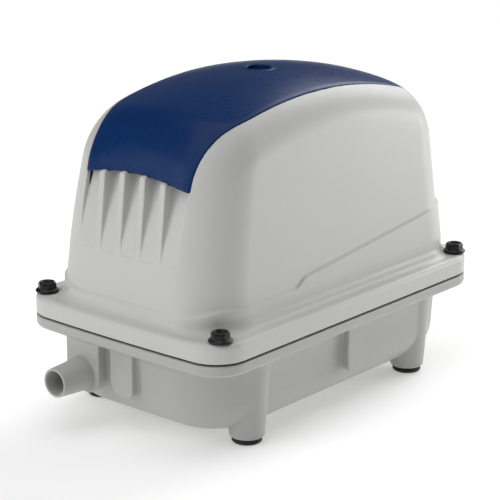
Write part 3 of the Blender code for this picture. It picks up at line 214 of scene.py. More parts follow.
# Round pieces inside the housing, and the cord gland
MOTOR_Z = 106.0
RING_FACES = (47.3, 52.7)
RING_RADIUS = 33.0
RING_BORE = 24.0
INNER_DISC_FACES = (50.2, 52.7)
OUTER_DISC_FACES = (55.3, 57.3)
DISC_RADIUS = 17.0
DIAPHRAGM_FACES = (53.0, 55.0)
DIAPHRAGM_SECTORS = 12
ROLL_INNER = 17.6
ROLL_OUTER = 23.2
ROLL_HEIGHT = 2.0
ROLL_STEPS = 13
DIAPHRAGM_HUB = 10.0
DIAPHRAGM_EDGE = 28.0
SECTOR_STEPS = 5
DISC_BORE = 3.1
TUBE_X = 81.5
TUBE_RADIUS = 6.5
TUBE_BORE = 4.1
TUBE_BOTTOM = 44.0
TUBE_TOP = 70.7
DAMPER_X = 50.0
DAMPER_Y = 38.0
DAMPER_RADIUS = 8.0
DAMPER_LOW = 48.6
DAMPER_HIGH = 65.7
GLAND_Y = -28.0
GLAND_Z = 62.6
GLAND_BORE = 2.6
GLAND_NECK_RADIUS = 3.7
GLAND_COLLAR_RADIUS = 5.1
GLAND_INNER_X = 112.0
GLAND_SEAT_X = 127.1
GLAND_END_X = 133.0


# Camera

CAMERA_TURN = math.radians(-49.80)
CAMERA_RISE = math.radians(16.56)
CAMERA_ROLL = 0.0036
CAMERA_DISTANCE = 1.1965
CAMERA_TARGET = Vector((LAYOUT[0] * MM, 0.0, (LAYOUT[2] + 90.0) * MM))
CAMERA_LENS = 138.84
CAMERA_SHIFT = (-0.0155, -0.0240)


def make_camera():
    back = Vector((math.sin(CAMERA_TURN) * math.cos(CAMERA_RISE),
                   -math.cos(CAMERA_TURN) * math.cos(CAMERA_RISE),
                   math.sin(CAMERA_RISE)))
    level = Vector((math.cos(CAMERA_TURN), math.sin(CAMERA_TURN), 0.0))
    upright = back.cross(level)
    right = level * math.cos(CAMERA_ROLL) + upright * math.sin(CAMERA_ROLL)
    up = back.cross(right)
    data = bpy.data.cameras.new("camera")
    data.lens = CAMERA_LENS
    data.sensor_width = 36.0
    data.shift_x, data.shift_y = CAMERA_SHIFT
    data.clip_end = 50.0
    camera = bpy.data.objects.new("camera", data)
    bpy.context.scene.collection.objects.link(camera)
    place = Matrix((right, up, back)).transposed().to_4x4()
    place.translation = CAMERA_TARGET + back * CAMERA_DISTANCE
    camera.matrix_world = place
    bpy.context.scene.camera = camera


make_camera()


# Fields


def smooth_step(value):
    value = np.clip(value, 0.0, 1.0)
    return value * value * (3.0 - 2.0 * value)


def rounded_cut(first, second, radius):
    """What two shapes share, with their common edge rounded."""
    past_first = np.maximum(first + radius, 0.0)
    past_second = np.maximum(second + radius, 0.0)
    inside = np.minimum(np.maximum(first, second) + radius, 0.0)
    return np.hypot(past_first, past_second) - radius + inside


def rounded_join(first, second, radius):
    """Two shapes together, with a fillet in the corner between them."""
    return -rounded_cut(-first, -second, radius)


def rounded_plan(x, y, half_x, half_y, corner):
    out_x = np.abs(x) - (half_x - corner)
    out_y = np.abs(y) - (half_y - corner)
    outside = np.hypot(np.maximum(out_x, 0.0), np.maximum(out_y, 0.0))
    return outside + np.minimum(np.maximum(out_x, out_y), 0.0) - corner


def at_bolts(x, y):
    """Distance in plan to the nearest of the four bolts' axes."""
    return np.hypot(np.abs(x) - BOLT_X, np.abs(y) - BOLT_Y)


def flange_plan(x, y):
    bow = FLANGE_BOW * (1.0 - (y / FLANGE_HALF_Y) ** 2)
    return rounded_plan(x, y, FLANGE_HALF_X + bow, FLANGE_HALF_Y, FLANGE_CORNER)


def vent_face(z):
    rise = z - SKIN_FOOT
    return SKIN_VENT_END + SKIN_VENT_LEAN * rise + SKIN_VENT_CURVE * rise * rise


def skin(x, y, z):
    """Distance to the housing's skin, without its skirt."""
    rise = np.maximum(z - SKIN_FOOT, 0.0)
    vent_end = vent_face(rise + SKIN_FOOT) - x
    far_end = x - SKIN_FAR_END + SKIN_FAR_LEAN * rise
    end = np.maximum(vent_end, far_end)
    side = np.abs(y) - SKIN_HALF_Y + SKIN_SIDE_LEAN * rise
    plan = rounded_cut(end, side, SKIN_PLAN_RADIUS)
    run_x = (x - CROWN_X) / CROWN_RADIUS_X
    run_y = y / CROWN_RADIUS_Y
    crown = CROWN_Z - CROWN_RADIUS_X * run_x ** 2 / 2.0 - CROWN_RADIUS_Y * run_y ** 2 / 2.0
    top = (z - crown) / np.sqrt(1.0 + run_x ** 2 + run_y ** 2)
    share = smooth_step((end - side) / SHOULDER_BLEND + 0.5)
    end_radius = np.where(x < 0.0, SHOULDER_VENT_END, SHOULDER_FAR_END)
    return rounded_cut(plan, top, share * end_radius + (1.0 - share) * SHOULDER_SIDE)


def crease_share(x):
    """How far along its first rise the crease is, from the vents' end."""
    return smooth_step((x - CREASE_LOW_START) / CREASE_LOW_LENGTH)


def skirt_rise(x):
    """Height of the crease where the skirt stands proud of the skin."""
    low = CREASE_LOW_Z + CREASE_LOW_RISE * crease_share(x)
    slope = CREASE_SLOPE_Z + CREASE_SLOPE * (x - CREASE_SLOPE_X)
    return low + (slope - low) * smooth_step((x - CREASE_STEP_START) / CREASE_STEP_LENGTH)


def cover_half_width(x):
    share = smooth_step((x - COVER_SPREAD_START) / COVER_SPREAD_LENGTH)
    return COVER_HALF_LOW + (COVER_HALF_HIGH - COVER_HALF_LOW) * share


def cover_band(x, y, z, grow):
    """Distance to the upright block that bounds the filter cover."""
    half = cover_half_width(x) + grow
    arch = COVER_LOWER_ARCH * (1.0 - np.minimum(np.abs(y) / half, 1.0) ** 2)
    low = np.where(x < 0.0, COVER_LOWER_Z + arch - grow - z, -50.0)
    side = rounded_cut(np.abs(y) - half, low, COVER_LOWER_ROUNDING)
    return rounded_cut(side, x - COVER_FAR_X - grow, COVER_FAR_ROUNDING)


def from_rib(y):
    """Distance to the middle of the nearest of the four vent ribs."""
    place = np.clip(np.floor(y / RIB_PITCH), -2, 1) + 0.5
    return np.abs(y - place * RIB_PITCH)


def vent_grooves(x, y, z):
    wall = rounded_cut(np.abs(y) - VENT_HALF_SPAN, RIB_HALF_WIDTH - from_rib(y), 0.5)
    share = (z - VENT_BOTTOM) / (VENT_LIP_Z - VENT_BOTTOM)
    lip = vent_face(VENT_LIP_Z) + VENT_DEPTH
    floor = np.minimum(vent_face(z) + VENT_DEPTH * share, lip)
    groove = rounded_cut(wall, (x - floor) * 0.97, 1.2)
    return np.maximum(groove, np.maximum(z - VENT_TOP, VENT_BOTTOM - z))


def vent_ribs(x, y, z):
    """Ribs between the vents. They run straight up while the face behind them curves away."""
    rise = RIB_START - SKIN_FOOT
    slope = SKIN_VENT_LEAN + 2.0 * SKIN_VENT_CURVE * rise
    front = vent_face(RIB_START) + slope * (z - RIB_START) - x
    arch = COVER_LOWER_ARCH * (1.0 - (y / COVER_HALF_LOW) ** 2)
    top = z - COVER_LOWER_Z - arch - 1.0
    rib = rounded_cut(rounded_cut(from_rib(y) - RIB_HALF_WIDTH, front, 0.7), top, 1.8)
    return np.maximum(rib, np.maximum(RIB_START - z, x - RIB_BACK_X))


def well_floor(x):
    slope = (WELL_FLOOR - WELL_LOW_FLOOR) / (WELL_STEP_X - WELL_VENT_X)
    return np.minimum(WELL_FLOOR, WELL_LOW_FLOOR + slope * (x - WELL_VENT_X))


def filter_well(x, y, z):
    plan = np.maximum(np.abs(y) - WELL_HALF_Y, np.maximum(WELL_VENT_X - x, x - WELL_FAR_X))
    return rounded_cut(plan, well_floor(x) - z, 2.0)


def air_way_walls(x, y, z):
    """The block inside the housing that the vents and the filter well are cut from."""
    wall = HOUSING_WALL
    share = (z - VENT_BOTTOM) / (VENT_LIP_Z - VENT_BOTTOM)
    behind_vents = x - vent_face(z) - VENT_DEPTH * share - wall
    behind_vents = np.maximum(behind_vents, VENT_BOTTOM - wall - z)
    behind_vents = np.maximum(behind_vents, z - VENT_LIP_Z)
    behind_well = np.maximum(x - WELL_FAR_X - wall, well_floor(x) - wall - z)
    side = np.abs(y) - WELL_HALF_Y - wall
    return np.maximum(np.minimum(behind_vents, behind_well), side)


def housing(x, y, z):
    plain = skin(x, y, z)
    crease = skirt_rise(x)
    crease_width = CREASE_WIDTH * (1.8 - 0.8 * crease_share(x))
    body = plain - SKIRT_PROUD * smooth_step((crease - z) / crease_width + 0.5)
    flange = rounded_cut(flange_plan(x, y), z - FLANGE_TOP, 3.0)
    shape = rounded_join(body, flange, SKIRT_FILLET)

    spot = rounded_cut(at_bolts(x, y) - BOLT_SPOT, FLANGE_TOP - z, 0.4)
    shape = rounded_cut(shape, -spot, 0.6)
    shape = rounded_cut(shape, FLANGE_BOTTOM - z, 0.7)

    rebate = np.maximum(cover_band(x, y, z, 0.0), -plain - COVER_REBATE)
    shape = rounded_cut(shape, -rebate, 0.5)
    shape = rounded_cut(shape, -vent_grooves(x, y, z), 0.7)
    behind_cover = np.minimum(-cover_band(x, y, z, 0.0), COVER_GAP - plain)
    shape = np.minimum(shape, np.maximum(vent_ribs(x, y, z), behind_cover))
    shape = rounded_cut(shape, -filter_well(x, y, z), 0.5)

    cavity = np.maximum(plain + HOUSING_WALL, -air_way_walls(x, y, z))
    shape = np.maximum(shape, -cavity)
    post = np.maximum(np.hypot(x, y) - POST_RADIUS, np.maximum(z - POST_TOP, WELL_FLOOR - 1.5 - z))
    shape = rounded_join(shape, post, 0.8)
    shape = np.maximum(shape, -np.maximum(np.hypot(x, y) - SCREW_HOLE, POST_HOLE_BOTTOM - z))
    intake = np.hypot(x - INTAKE_HOLE_X, y) - INTAKE_HOLE_RADIUS
    shape = rounded_cut(shape, -np.maximum(intake, np.abs(z - WELL_FLOOR) - 5.0), 0.5)
    shape = rounded_cut(shape, -(at_bolts(x, y) - BOLT_HOLE), 0.3)
    gland = np.maximum(np.hypot(y - GLAND_Y, z - GLAND_Z) - GLAND_HOLE, GLAND_HOLE_X - x)
    return rounded_cut(shape, -gland, 0.3)


def filter_cover(x, y, z):
    plain = skin(x, y, z)
    sheet = rounded_cut(plain, -plain - COVER_THICK, 0.3)
    sheet = rounded_cut(sheet, cover_band(x, y, z, -COVER_GAP), 0.5)
    around = np.hypot(x, y)
    cup = rounded_cut(around - CUP_RADIUS, CUP_FLOOR - z, 0.5)
    cup = np.maximum(cup, plain)
    sheet = rounded_join(sheet, cup, 1.0)
    bore = rounded_cut(around - CUP_BORE, CUP_FLOOR + CUP_FLOOR_THICK - z, 0.8)
    sheet = rounded_cut(sheet, -bore, 0.7)
    return rounded_cut(sheet, -(around - SCREW_HOLE), 0.2)


def raised_panel(along, height, across, ends, bottom, corners, edge):
    """Distance to a flat panel that stands out from a wall. Each lower corner has its own radius."""
    middle = (ends[0] + ends[1]) / 2.0
    radius = np.where(along < middle, corners[0], corners[1])
    side = np.abs(along - middle) - (ends[1] - ends[0]) / 2.0
    return rounded_cut(rounded_cut(side, bottom - height, radius), across, edge)


def tank_wall(x, y, z):
    plan = rounded_plan(x, y, TANK_HALF_X, TANK_HALF_Y, TANK_CORNER)
    return plan + TANK_DRAFT * (RIM_BOTTOM - z)


def tank(x, y, z):
    shape = rounded_cut(tank_wall(x, y, z), TANK_FLOOR - z, TANK_BOTTOM_RADIUS)
    corners = (PAD_NEAR_CORNER, PAD_FAR_CORNER)
    block_corners = (OUTLET_BLOCK_CORNER, OUTLET_BLOCK_CORNER)
    block = raised_panel(y, z, OUTLET_BLOCK_X - x, OUTLET_BLOCK_YS, OUTLET_BLOCK_BOTTOM, block_corners, 1.2)
    end_pad = raised_panel(y, z, END_PAD_X - x, END_PAD_YS, END_PAD_BOTTOM, corners, 0.9)
    side_pad = raised_panel(x, z, np.abs(y) - SIDE_PAD_Y, SIDE_PAD_XS, SIDE_PAD_BOTTOM, corners, 0.9)
    ends = np.maximum(np.minimum(block, end_pad), x - PAD_BACK_X)
    shape = rounded_join(shape, ends, 1.0)
    shape = rounded_join(shape, np.maximum(side_pad, PAD_BACK_Y - np.abs(y)), 1.0)

    around = np.hypot(np.abs(x) - LEG_X, np.abs(y) - LEG_Y)
    leg = around - LEG_TOP_RADIUS + LEG_TAPER * (RIM_BOTTOM - z)
    shape = rounded_join(shape, rounded_cut(leg, LEG_BOTTOM - z, 1.6), 0.6)

    shape = np.maximum(shape, z - RIM_BOTTOM - 2.0)
    rim = rounded_cut(flange_plan(x, y), RIM_BOTTOM - z, 2.6)
    shape = rounded_join(shape, rim, 1.0)
    shape = rounded_cut(shape, z - RIM_TOP, 0.8)

    recess = rounded_cut(rounded_plan(x, y, *PLATE_RECESS), PLATE_LEDGE - z, 0.4)
    shape = rounded_cut(shape, -recess, 0.4)
    chamber = rounded_plan(x, y, *CHAMBER) + CHAMBER_DRAFT * (PLATE_LEDGE - z)
    chamber = rounded_cut(chamber, TANK_FLOOR + TANK_WALL - z, CHAMBER_BOTTOM_RADIUS)
    shape = rounded_cut(shape, -chamber, 0.4)
    shape = rounded_cut(shape, -(at_bolts(x, y) - BOLT_HOLE), 0.3)
    screw_holes = np.hypot(np.abs(x) - PLATE_SCREW_X, np.abs(y) - PLATE_SCREW_Y) - PLATE_SCREW_HOLE
    shape = np.maximum(shape, -np.maximum(screw_holes, PLATE_SCREW_DEPTH_Z - z))
    sockets = np.maximum(around - FOOT_STUD_RADIUS - 0.3, z - FOOT_STUD_TOP - 1.0)
    shape = np.maximum(shape, -sockets)
    outlet = np.hypot(y - OUTLET_Y, z - OUTLET_Z) - OUTLET_RADIUS - 0.3
    return np.maximum(shape, -np.maximum(outlet, x - OUTLET_INNER_X - 11.0))


# Meshes

SLOPE_STEP = 0.04
BLOCKS_AT_ONCE = 2000
DRAWING_PASSES = 4
UNFOLDING_PASSES = 4
LEAST_STEEPNESS = 0.05


def link(name, mesh, finish):
    mesh.materials.append(finish)
    made = bpy.data.objects.new(name, mesh)
    bpy.context.scene.collection.objects.link(made)
    return made


def to_frame(points):
    """Layout millimetres to the frame's metres."""
    return (np.asarray(points, dtype=float) + LAYOUT) * MM


def slopes(field, points):
    """How fast the field rises along each axis at each point."""
    found = np.empty_like(points)
    for axis in range(3):
        offset = np.zeros(3)
        offset[axis] = SLOPE_STEP
        ahead = field(*(points + offset).T)
        behind = field(*(points - offset).T)
        found[:, axis] = (ahead - behind) / (2.0 * SLOPE_STEP)
    return found


def sample(field, low, blocks, voxel):
    """Values on a grid. Only the blocks that the surface may pass through are worked out."""
    half = (BLOCK - 1) / 2
    centres = [low[axis] + voxel * (BLOCK * np.arange(blocks[axis]) + half) for axis in range(3)]
    middle = field(*np.meshgrid(*centres, indexing="ij"))
    values = np.empty((blocks[0], BLOCK, blocks[1], BLOCK, blocks[2], BLOCK), dtype=np.float32)
    values[:] = (np.sign(middle) * FIELD_BAND * voxel)[:, None, :, None, :, None]
    near = np.argwhere(np.abs(middle) < BLOCK_REACH * BLOCK * voxel)
    steps = voxel * np.indices((BLOCK, BLOCK, BLOCK)).reshape(3, -1)
    for start in range(0, len(near), BLOCKS_AT_ONCE):
        part = near[start:start + BLOCKS_AT_ONCE]
        corner = low + part * BLOCK * voxel
        places = [(corner[:, axis, None] + steps[axis]).astype(np.float32) for axis in range(3)]
        found = field(*places).reshape(-1, BLOCK, BLOCK, BLOCK)
        values[part[:, 0], :, part[:, 1], :, part[:, 2], :] = found
    return values.reshape([count * BLOCK for count in blocks])


def thinned(name, points, faces, budget):
    """Merge a dense mesh down to a number of faces, which leaves most of them where it curves."""
    mesh = bpy.data.meshes.new(name)
    mesh.from_pydata(points, [], faces)
    dense = bpy.data.objects.new(name, mesh)
    bpy.context.scene.collection.objects.link(dense)
    merge = dense.modifiers.new("merge", "DECIMATE")
    merge.ratio = min(budget / len(faces), 1.0)
    merge.use_collapse_triangulate = True
    thin = bpy.data.meshes.new_from_object(dense.evaluated_get(bpy.context.evaluated_depsgraph_get()))
    points = np.empty(3 * len(thin.vertices))
    thin.vertices.foreach_get("co", points)
    thin.calc_loop_triangles()
    faces = np.empty(3 * len(thin.loop_triangles), dtype=int)
    thin.loop_triangles.foreach_get("vertices", faces)
    bpy.data.objects.remove(dense)
    bpy.data.meshes.remove(mesh)
    bpy.data.meshes.remove(thin)
    return points.reshape(-1, 3), faces.reshape(-1, 3)


def drawn_to(field, points, voxel):
    """Points moved onto the surface where the field is nought, and the surface's normals there."""
    points = points.copy()
    for _ in range(DRAWING_PASSES):
        value = field(*points.T)
        slope = slopes(field, points)
        steep = np.maximum((slope ** 2).sum(axis=1), LEAST_STEEPNESS)
        reach = np.clip(value / steep, -voxel, voxel)
        points -= slope * reach[:, None]
    slope = slopes(field, points)
    return points, slope / np.maximum(np.linalg.norm(slope, axis=1), 1e-6)[:, None]


def facings(points, faces):
    """Which way each face looks. The longer the arrow, the larger the face."""
    corners = points[faces]
    return np.cross(corners[:, 1] - corners[:, 0], corners[:, 2] - corners[:, 0])


def unfolded(field, points, normals, faces, voxel):
    """Even out the points round every face that turns away from its surface."""
    edges = np.concatenate([faces[:, (0, 1)], faces[:, (1, 2)], faces[:, (2, 0)]])
    for _ in range(UNFOLDING_PASSES):
        facing = facings(points, faces)
        facing /= np.maximum(np.linalg.norm(facing, axis=1), 1e-9)[:, None]
        agreement = (facing * normals[faces].mean(axis=1)).sum(axis=1)
        moved = np.unique(faces[agreement < LEAST_AGREEMENT])
        if len(moved) == 0:
            break
        total = np.zeros_like(points)
        count = np.zeros(len(points))
        np.add.at(total, edges[:, 0], points[edges[:, 1]])
        np.add.at(count, edges[:, 0], 1.0)
        points[moved] = total[moved] / count[moved, None]
        points[moved], normals[moved] = drawn_to(field, points[moved], voxel)
    return points, normals


def implicit_piece(name, field, low, high, voxel, finish, budget):
    """Mesh of the surface where the field is nought, with its true normals."""
    low = np.array(low, dtype=float)
    blocks = np.ceil((np.array(high) - low) / (BLOCK * voxel)).astype(int)
    values = sample(field, low, blocks, voxel) / voxel
    np.clip(values, -FIELD_BAND, FIELD_BAND, out=values)
    grid = openvdb.FloatGrid(FIELD_BAND)
    grid.copyFromArray(values)
    points, triangles, quads = grid.convertToPolygons(0.0, 0.0)
    points = low + points.astype(float) * voxel
    faces = np.concatenate([triangles, quads[:, (0, 1, 2)], quads[:, (0, 2, 3)]]).astype(int)
    points, faces = thinned(name, points, faces, budget)

    points, normals = drawn_to(field, points, voxel)
    if (facings(points, faces) * normals[faces[:, 0]]).sum() < 0.0:
        faces = faces[:, ::-1]
    points, normals = unfolded(field, points, normals, faces, voxel)
    mesh = bpy.data.meshes.new(name)
    mesh.from_pydata(to_frame(points), [], faces)
    mesh.shade_smooth()
    mesh.normals_split_custom_set_from_vertices(normals)
    return link(name, mesh, finish)


def lofted(name, loops, finish, ring=False, sharp=40.0):
    """Skin equal loops of points. A ring closes on its first loop, and any other loft is capped."""
    loops = np.array(loops, dtype=float)
    rows, count = loops.shape[:2]
    index = np.arange(rows * count).reshape(rows, count)
    if ring:
        index = np.vstack([index, index[:1]])
    ahead = np.roll(index, -1, axis=1)
    faces = np.stack([index[:-1], ahead[:-1], ahead[1:], index[1:]], axis=-1).reshape(-1, 4).tolist()
    if not ring:
        faces.append(index[0, ::-1].tolist())
        faces.append(index[-1].tolist())
    mesh = bpy.data.meshes.new(name)
    mesh.from_pydata(to_frame(loops.reshape(-1, 3)), [], faces)
    shape = bmesh.new()
    shape.from_mesh(mesh)
    bmesh.ops.remove_doubles(shape, verts=shape.verts, dist=1e-6)
    bmesh.ops.recalc_face_normals(shape, faces=shape.faces)
    shape.to_mesh(mesh)
    shape.free()
    mesh.shade_smooth()
    mesh.set_sharp_from_angle(angle=math.radians(sharp))
    return link(name, mesh, finish)


def circle(radius, count):
    turn = math.tau * np.arange(count) / count
    return np.stack([radius * np.cos(turn), radius * np.sin(turn)], axis=-1)


def along(axis, outline, place, centre):
    """Put a flat outline across an axis, at a place along it. Centre is where the outline's middle lies."""
    loop = np.empty((len(outline), 3))
    others = [other for other in range(3) if other != axis]
    loop[:, others[0]] = outline[:, 0] + centre[0]
    loop[:, others[1]] = outline[:, 1] + centre[1]
    loop[:, axis] = place
    return loop


def softened(profile, radius, steps=3, ring=False):
    """Round the corners of a profile of (radius, place) pairs."""
    profile = [np.array(point, dtype=float) for point in profile]
    last = len(profile) - 1
    rounded = []
    for index, point in enumerate(profile):
        if not ring and index in (0, last):
            rounded.append(point)
            continue
        before = profile[index - 1] - point
        after = profile[(index + 1) % len(profile)] - point
        reach = min(radius, 0.45 * np.linalg.norm(before), 0.45 * np.linalg.norm(after))
        start = point + before / np.linalg.norm(before) * reach
        end = point + after / np.linalg.norm(after) * reach
        for step in range(steps + 1):
            share = step / steps
            bend = (1 - share) ** 2 * start + 2 * share * (1 - share) * point + share ** 2 * end
            rounded.append(bend)
    return rounded


def turned(name, axis, profile, centre, finish, count=64, ring=False, soft=0.3):
    loops = [along(axis, circle(radius, count), place, centre)
             for radius, place in softened(profile, soft, ring=ring)]
    return lofted(name, loops, finish, ring)


# Materials


class Nodes:
    """Short ways to place and join shader nodes."""

    def __init__(self, name):
        self.material = bpy.data.materials.new(name)
        self.material.use_nodes = True
        self.tree = self.material.node_tree
        self.shader = self.tree.nodes["Principled BSDF"]
        self.place = self.add("ShaderNodeTexCoord").outputs["Object"]

    def add(self, kind, **settings):
        node = self.tree.nodes.new(kind)
        for name, value in settings.items():
            setattr(node, name, value)
        return node

    def join(self, source, target):
        self.tree.links.new(source, target)

    def noise(self, scale, detail=2.0, stretch=None):
        texture = self.add("ShaderNodeTexNoise")
        texture.inputs["Scale"].default_value = scale
        texture.inputs["Detail"].default_value = detail
        place = self.place
        if stretch:
            mapping = self.add("ShaderNodeMapping")
            mapping.inputs["Scale"].default_value = stretch
            self.join(place, mapping.inputs["Vector"])
            place = mapping.outputs["Vector"]
        self.join(place, texture.inputs["Vector"])
        return texture.outputs["Fac"]

    def spread(self, source, low, high, start=0.3, end=0.7):
        """Map the middle of a noise to a range."""
        change = self.add("ShaderNodeMapRange")
        change.inputs["From Min"].default_value = start
        change.inputs["From Max"].default_value = end
        change.inputs["To Min"].default_value = low
        change.inputs["To Max"].default_value = high
        self.join(source, change.inputs["Value"])
        return change.outputs["Result"]

    def blend(self, share, first, second):
        mix = self.add("ShaderNodeMix", data_type="RGBA")
        mix.inputs["A"].default_value = (*first, 1.0)
        mix.inputs["B"].default_value = (*second, 1.0)
        self.join(share, mix.inputs["Factor"])
        return mix.outputs["Result"]

    def relief(self, height, strength, depth):
        bump = self.add("ShaderNodeBump")
        bump.inputs["Strength"].default_value = strength
        bump.inputs["Distance"].default_value = depth
        self.join(height, bump.inputs["Height"])
        self.join(bump.outputs["Normal"], self.shader.inputs["Normal"])

    def colour(self, source):
        self.join(source, self.shader.inputs["Base Color"])

    def roughness(self, source):
        self.join(source, self.shader.inputs["Roughness"])


def shade(colour, factor):
    return tuple(min(channel * factor, 1.0) for channel in colour)


def moulded_plastic(name, colour, roughness, grain=0.12, mottle=0.03, coat=0.0, gloss=0.5):
    """Injection-moulded plastic: fine eroded grain, faint flow mottling and uneven gloss."""
    nodes = Nodes(name)
    flow = nodes.noise(18.0, 3.0)
    nodes.colour(nodes.blend(flow, shade(colour, 1.0 - mottle), shade(colour, 1.0 + mottle)))
    nodes.roughness(nodes.spread(nodes.noise(140.0, 3.0), roughness - 0.04, roughness + 0.05))
    nodes.relief(nodes.noise(2600.0, 2.0), grain, 0.0001)
    nodes.shader.inputs["Specular IOR Level"].default_value = gloss
    nodes.shader.inputs["Coat Weight"].default_value = coat
    nodes.shader.inputs["Coat Roughness"].default_value = 0.12
    return nodes.material


def rubber(name, colour, roughness=0.75):
    nodes = Nodes(name)
    nodes.colour(nodes.blend(nodes.noise(160.0, 4.0), shade(colour, 0.8), shade(colour, 1.6)))
    nodes.roughness(nodes.spread(nodes.noise(400.0), roughness - 0.1, roughness + 0.08))
    nodes.relief(nodes.noise(1800.0, 3.0), 0.25, 0.0001)
    return nodes.material


def metal(name, colour, roughness, metallic=1.0, brushed=None, cast=0.0):
    """Metal whose gloss varies. It may be brushed along one axis, or have a cast surface."""
    nodes = Nodes(name)
    nodes.shader.inputs["Metallic"].default_value = metallic
    nodes.colour(nodes.blend(nodes.noise(90.0, 4.0), shade(colour, 0.88), shade(colour, 1.08)))
    streaks = nodes.noise(300.0, 3.0, brushed)
    nodes.roughness(nodes.spread(streaks, roughness - 0.08, roughness + 0.1))
    nodes.relief(nodes.noise(900.0, 4.0, brushed), 0.15 + cast, 0.0001)
    return nodes.material


def foam(name, colour):
    """Open-cell foam: the pores are painted darker than the strands between them, as painted shade in the
    pores.
    """
    nodes = Nodes(name)
    cells = nodes.add("ShaderNodeTexVoronoi", feature="SMOOTH_F1")
    cells.inputs["Scale"].default_value = 900.0
    nodes.join(nodes.place, cells.inputs["Vector"])
    distance = cells.outputs["Distance"]
    # Painted shade: the colour darkens towards the middle of each pore, where the relief is lowest.
    depth = nodes.spread(distance, 0.0, 1.0, 0.1, 0.7)
    nodes.colour(nodes.blend(depth, shade(colour, 0.35), shade(colour, 1.5)))
    nodes.shader.inputs["Roughness"].default_value = 0.95
    nodes.relief(distance, 0.9, 0.0008)
    return nodes.material


def banded(name, axis, pitch, low, high, roughness, metallic, depth):
    """Fine layers stacked along one axis, such as laminations or turns of wire. The colour is darkest in the
    troughs of the relief between layers.
    """
    nodes = Nodes(name)
    split = nodes.add("ShaderNodeSeparateXYZ")
    nodes.join(nodes.place, split.inputs["Vector"])
    turns = nodes.add("ShaderNodeMath", operation="MULTIPLY")
    turns.inputs[1].default_value = math.tau / pitch
    nodes.join(split.outputs[axis], turns.inputs[0])
    wave = nodes.add("ShaderNodeMath", operation="SINE")
    nodes.join(turns.outputs[0], wave.inputs[0])
    # Darkest at the troughs of the wave, where the relief is lowest: painted shade in the creases between
    # turns of wire, and the dark joints between sheets of a lamination stack.
    nodes.colour(nodes.blend(nodes.spread(wave.outputs[0], 0.0, 1.0, -0.9, 0.5), low, high))
    nodes.roughness(nodes.spread(nodes.noise(500.0, 3.0), roughness - 0.06, roughness + 0.1))
    nodes.shader.inputs["Metallic"].default_value = metallic
    nodes.relief(wave.outputs[0], 0.6, depth)
    return nodes.material


FINISHES = {
    "housing_plastic": moulded_plastic("housing_plastic", (0.57, 0.57, 0.555), 0.42, 0.10, 0.015, 0.06),
    "tank_plastic": moulded_plastic("tank_plastic", (0.445, 0.445, 0.432), 0.46, 0.12, 0.02),
    "cover_plastic": moulded_plastic("cover_plastic", (0.004, 0.029, 0.120), 0.30, 0.04, 0.05, 0.0, 0.13),
    "filter_foam": foam("filter_foam", (0.06, 0.062, 0.066)),
    "black_steel": metal("black_steel", (0.012, 0.012, 0.013), 0.34, 0.5, None, 0.1),
    "black_rubber": rubber("black_rubber", (0.012, 0.012, 0.012)),
    "diaphragm_rubber": rubber("diaphragm_rubber", (0.018, 0.018, 0.019), 0.62),
    "plate_alloy": metal("plate_alloy", (0.62, 0.63, 0.64), 0.36, 1.0, (1.0, 0.04, 1.0)),
    "zinc_steel": metal("zinc_steel", (0.60, 0.60, 0.57), 0.30, 1.0, (1.0, 0.1, 1.0)),
    "core_steel": banded("core_steel", "Z", 0.0010, (0.05, 0.05, 0.055), (0.30, 0.30, 0.31),
                         0.45, 0.9, 0.0001),
    "bobbin_nylon": moulded_plastic("bobbin_nylon", (0.70, 0.66, 0.54), 0.48, 0.10, 0.03),
    # The dark copper colour is painted shade in the creases between the turns of wire.
    "copper_wire": banded("copper_wire", "Y", 0.0008, (0.20, 0.05, 0.015), (0.85, 0.36, 0.14),
                          0.26, 1.0, 0.0002),
    "rod_alloy": metal("rod_alloy", (0.66, 0.67, 0.68), 0.28, 1.0, (0.05, 1.0, 1.0)),
    "magnet_ferrite": metal("magnet_ferrite", (0.05, 0.05, 0.055), 0.42, 0.4, None, 0.2),
    "head_alloy": metal("head_alloy", (0.52, 0.53, 0.54), 0.46, 1.0, None, 0.5),
    "black_plastic": moulded_plastic("black_plastic", (0.018, 0.018, 0.019), 0.45, 0.15, 0.15),
}


# Stand-ins

SLOTS = {part["node"]: part["material_slot"] for part in frame["record"]["subparts"]}
CORNERS = ((-1, -1), (1, -1), (1, 1), (-1, 1))
DAMPER_WAIST_DEPTH = 2.0
DAMPER_WAIST_HALF = 2.0
DAMPER_BAND = 3.0
EASED_WIDTH = 0.25
EASED_FROM = 40


def stand_in(piece, node, body):
    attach(piece, body)
    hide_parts(node)


def in_layout(node, margin=3.0):
    """A node's box in layout millimetres, with a margin."""
    low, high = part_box(node)
    low = np.array(low) / MM - LAYOUT - margin
    high = np.array(high) / MM - LAYOUT + margin
    return low, high


def shells():
    for node, field, body, slot, budget in (
            ("upper_housing", housing, "pump", "housing_plastic", 190000),
            ("filter_cover", filter_cover, "filter_cover", "cover_plastic", 60000),
            ("lower_tank", tank, "pump", "tank_plastic", 130000)):
        low, high = in_layout(node)
        piece = implicit_piece(f"fine_{node}", field, low, high, SHELL_VOXEL, FINISHES[slot], budget)
        stand_in(piece, node, body)


def hexagon(flats, count, corner):
    """A hexagon across its flats, with rounded corners."""
    turn = math.tau * np.arange(count) / count
    swing = turn % (math.pi / 3) - math.pi / 6
    radius = np.minimum(flats / 2 / np.cos(swing), corner)
    return np.stack([radius * np.cos(turn), radius * np.sin(turn)], axis=-1)


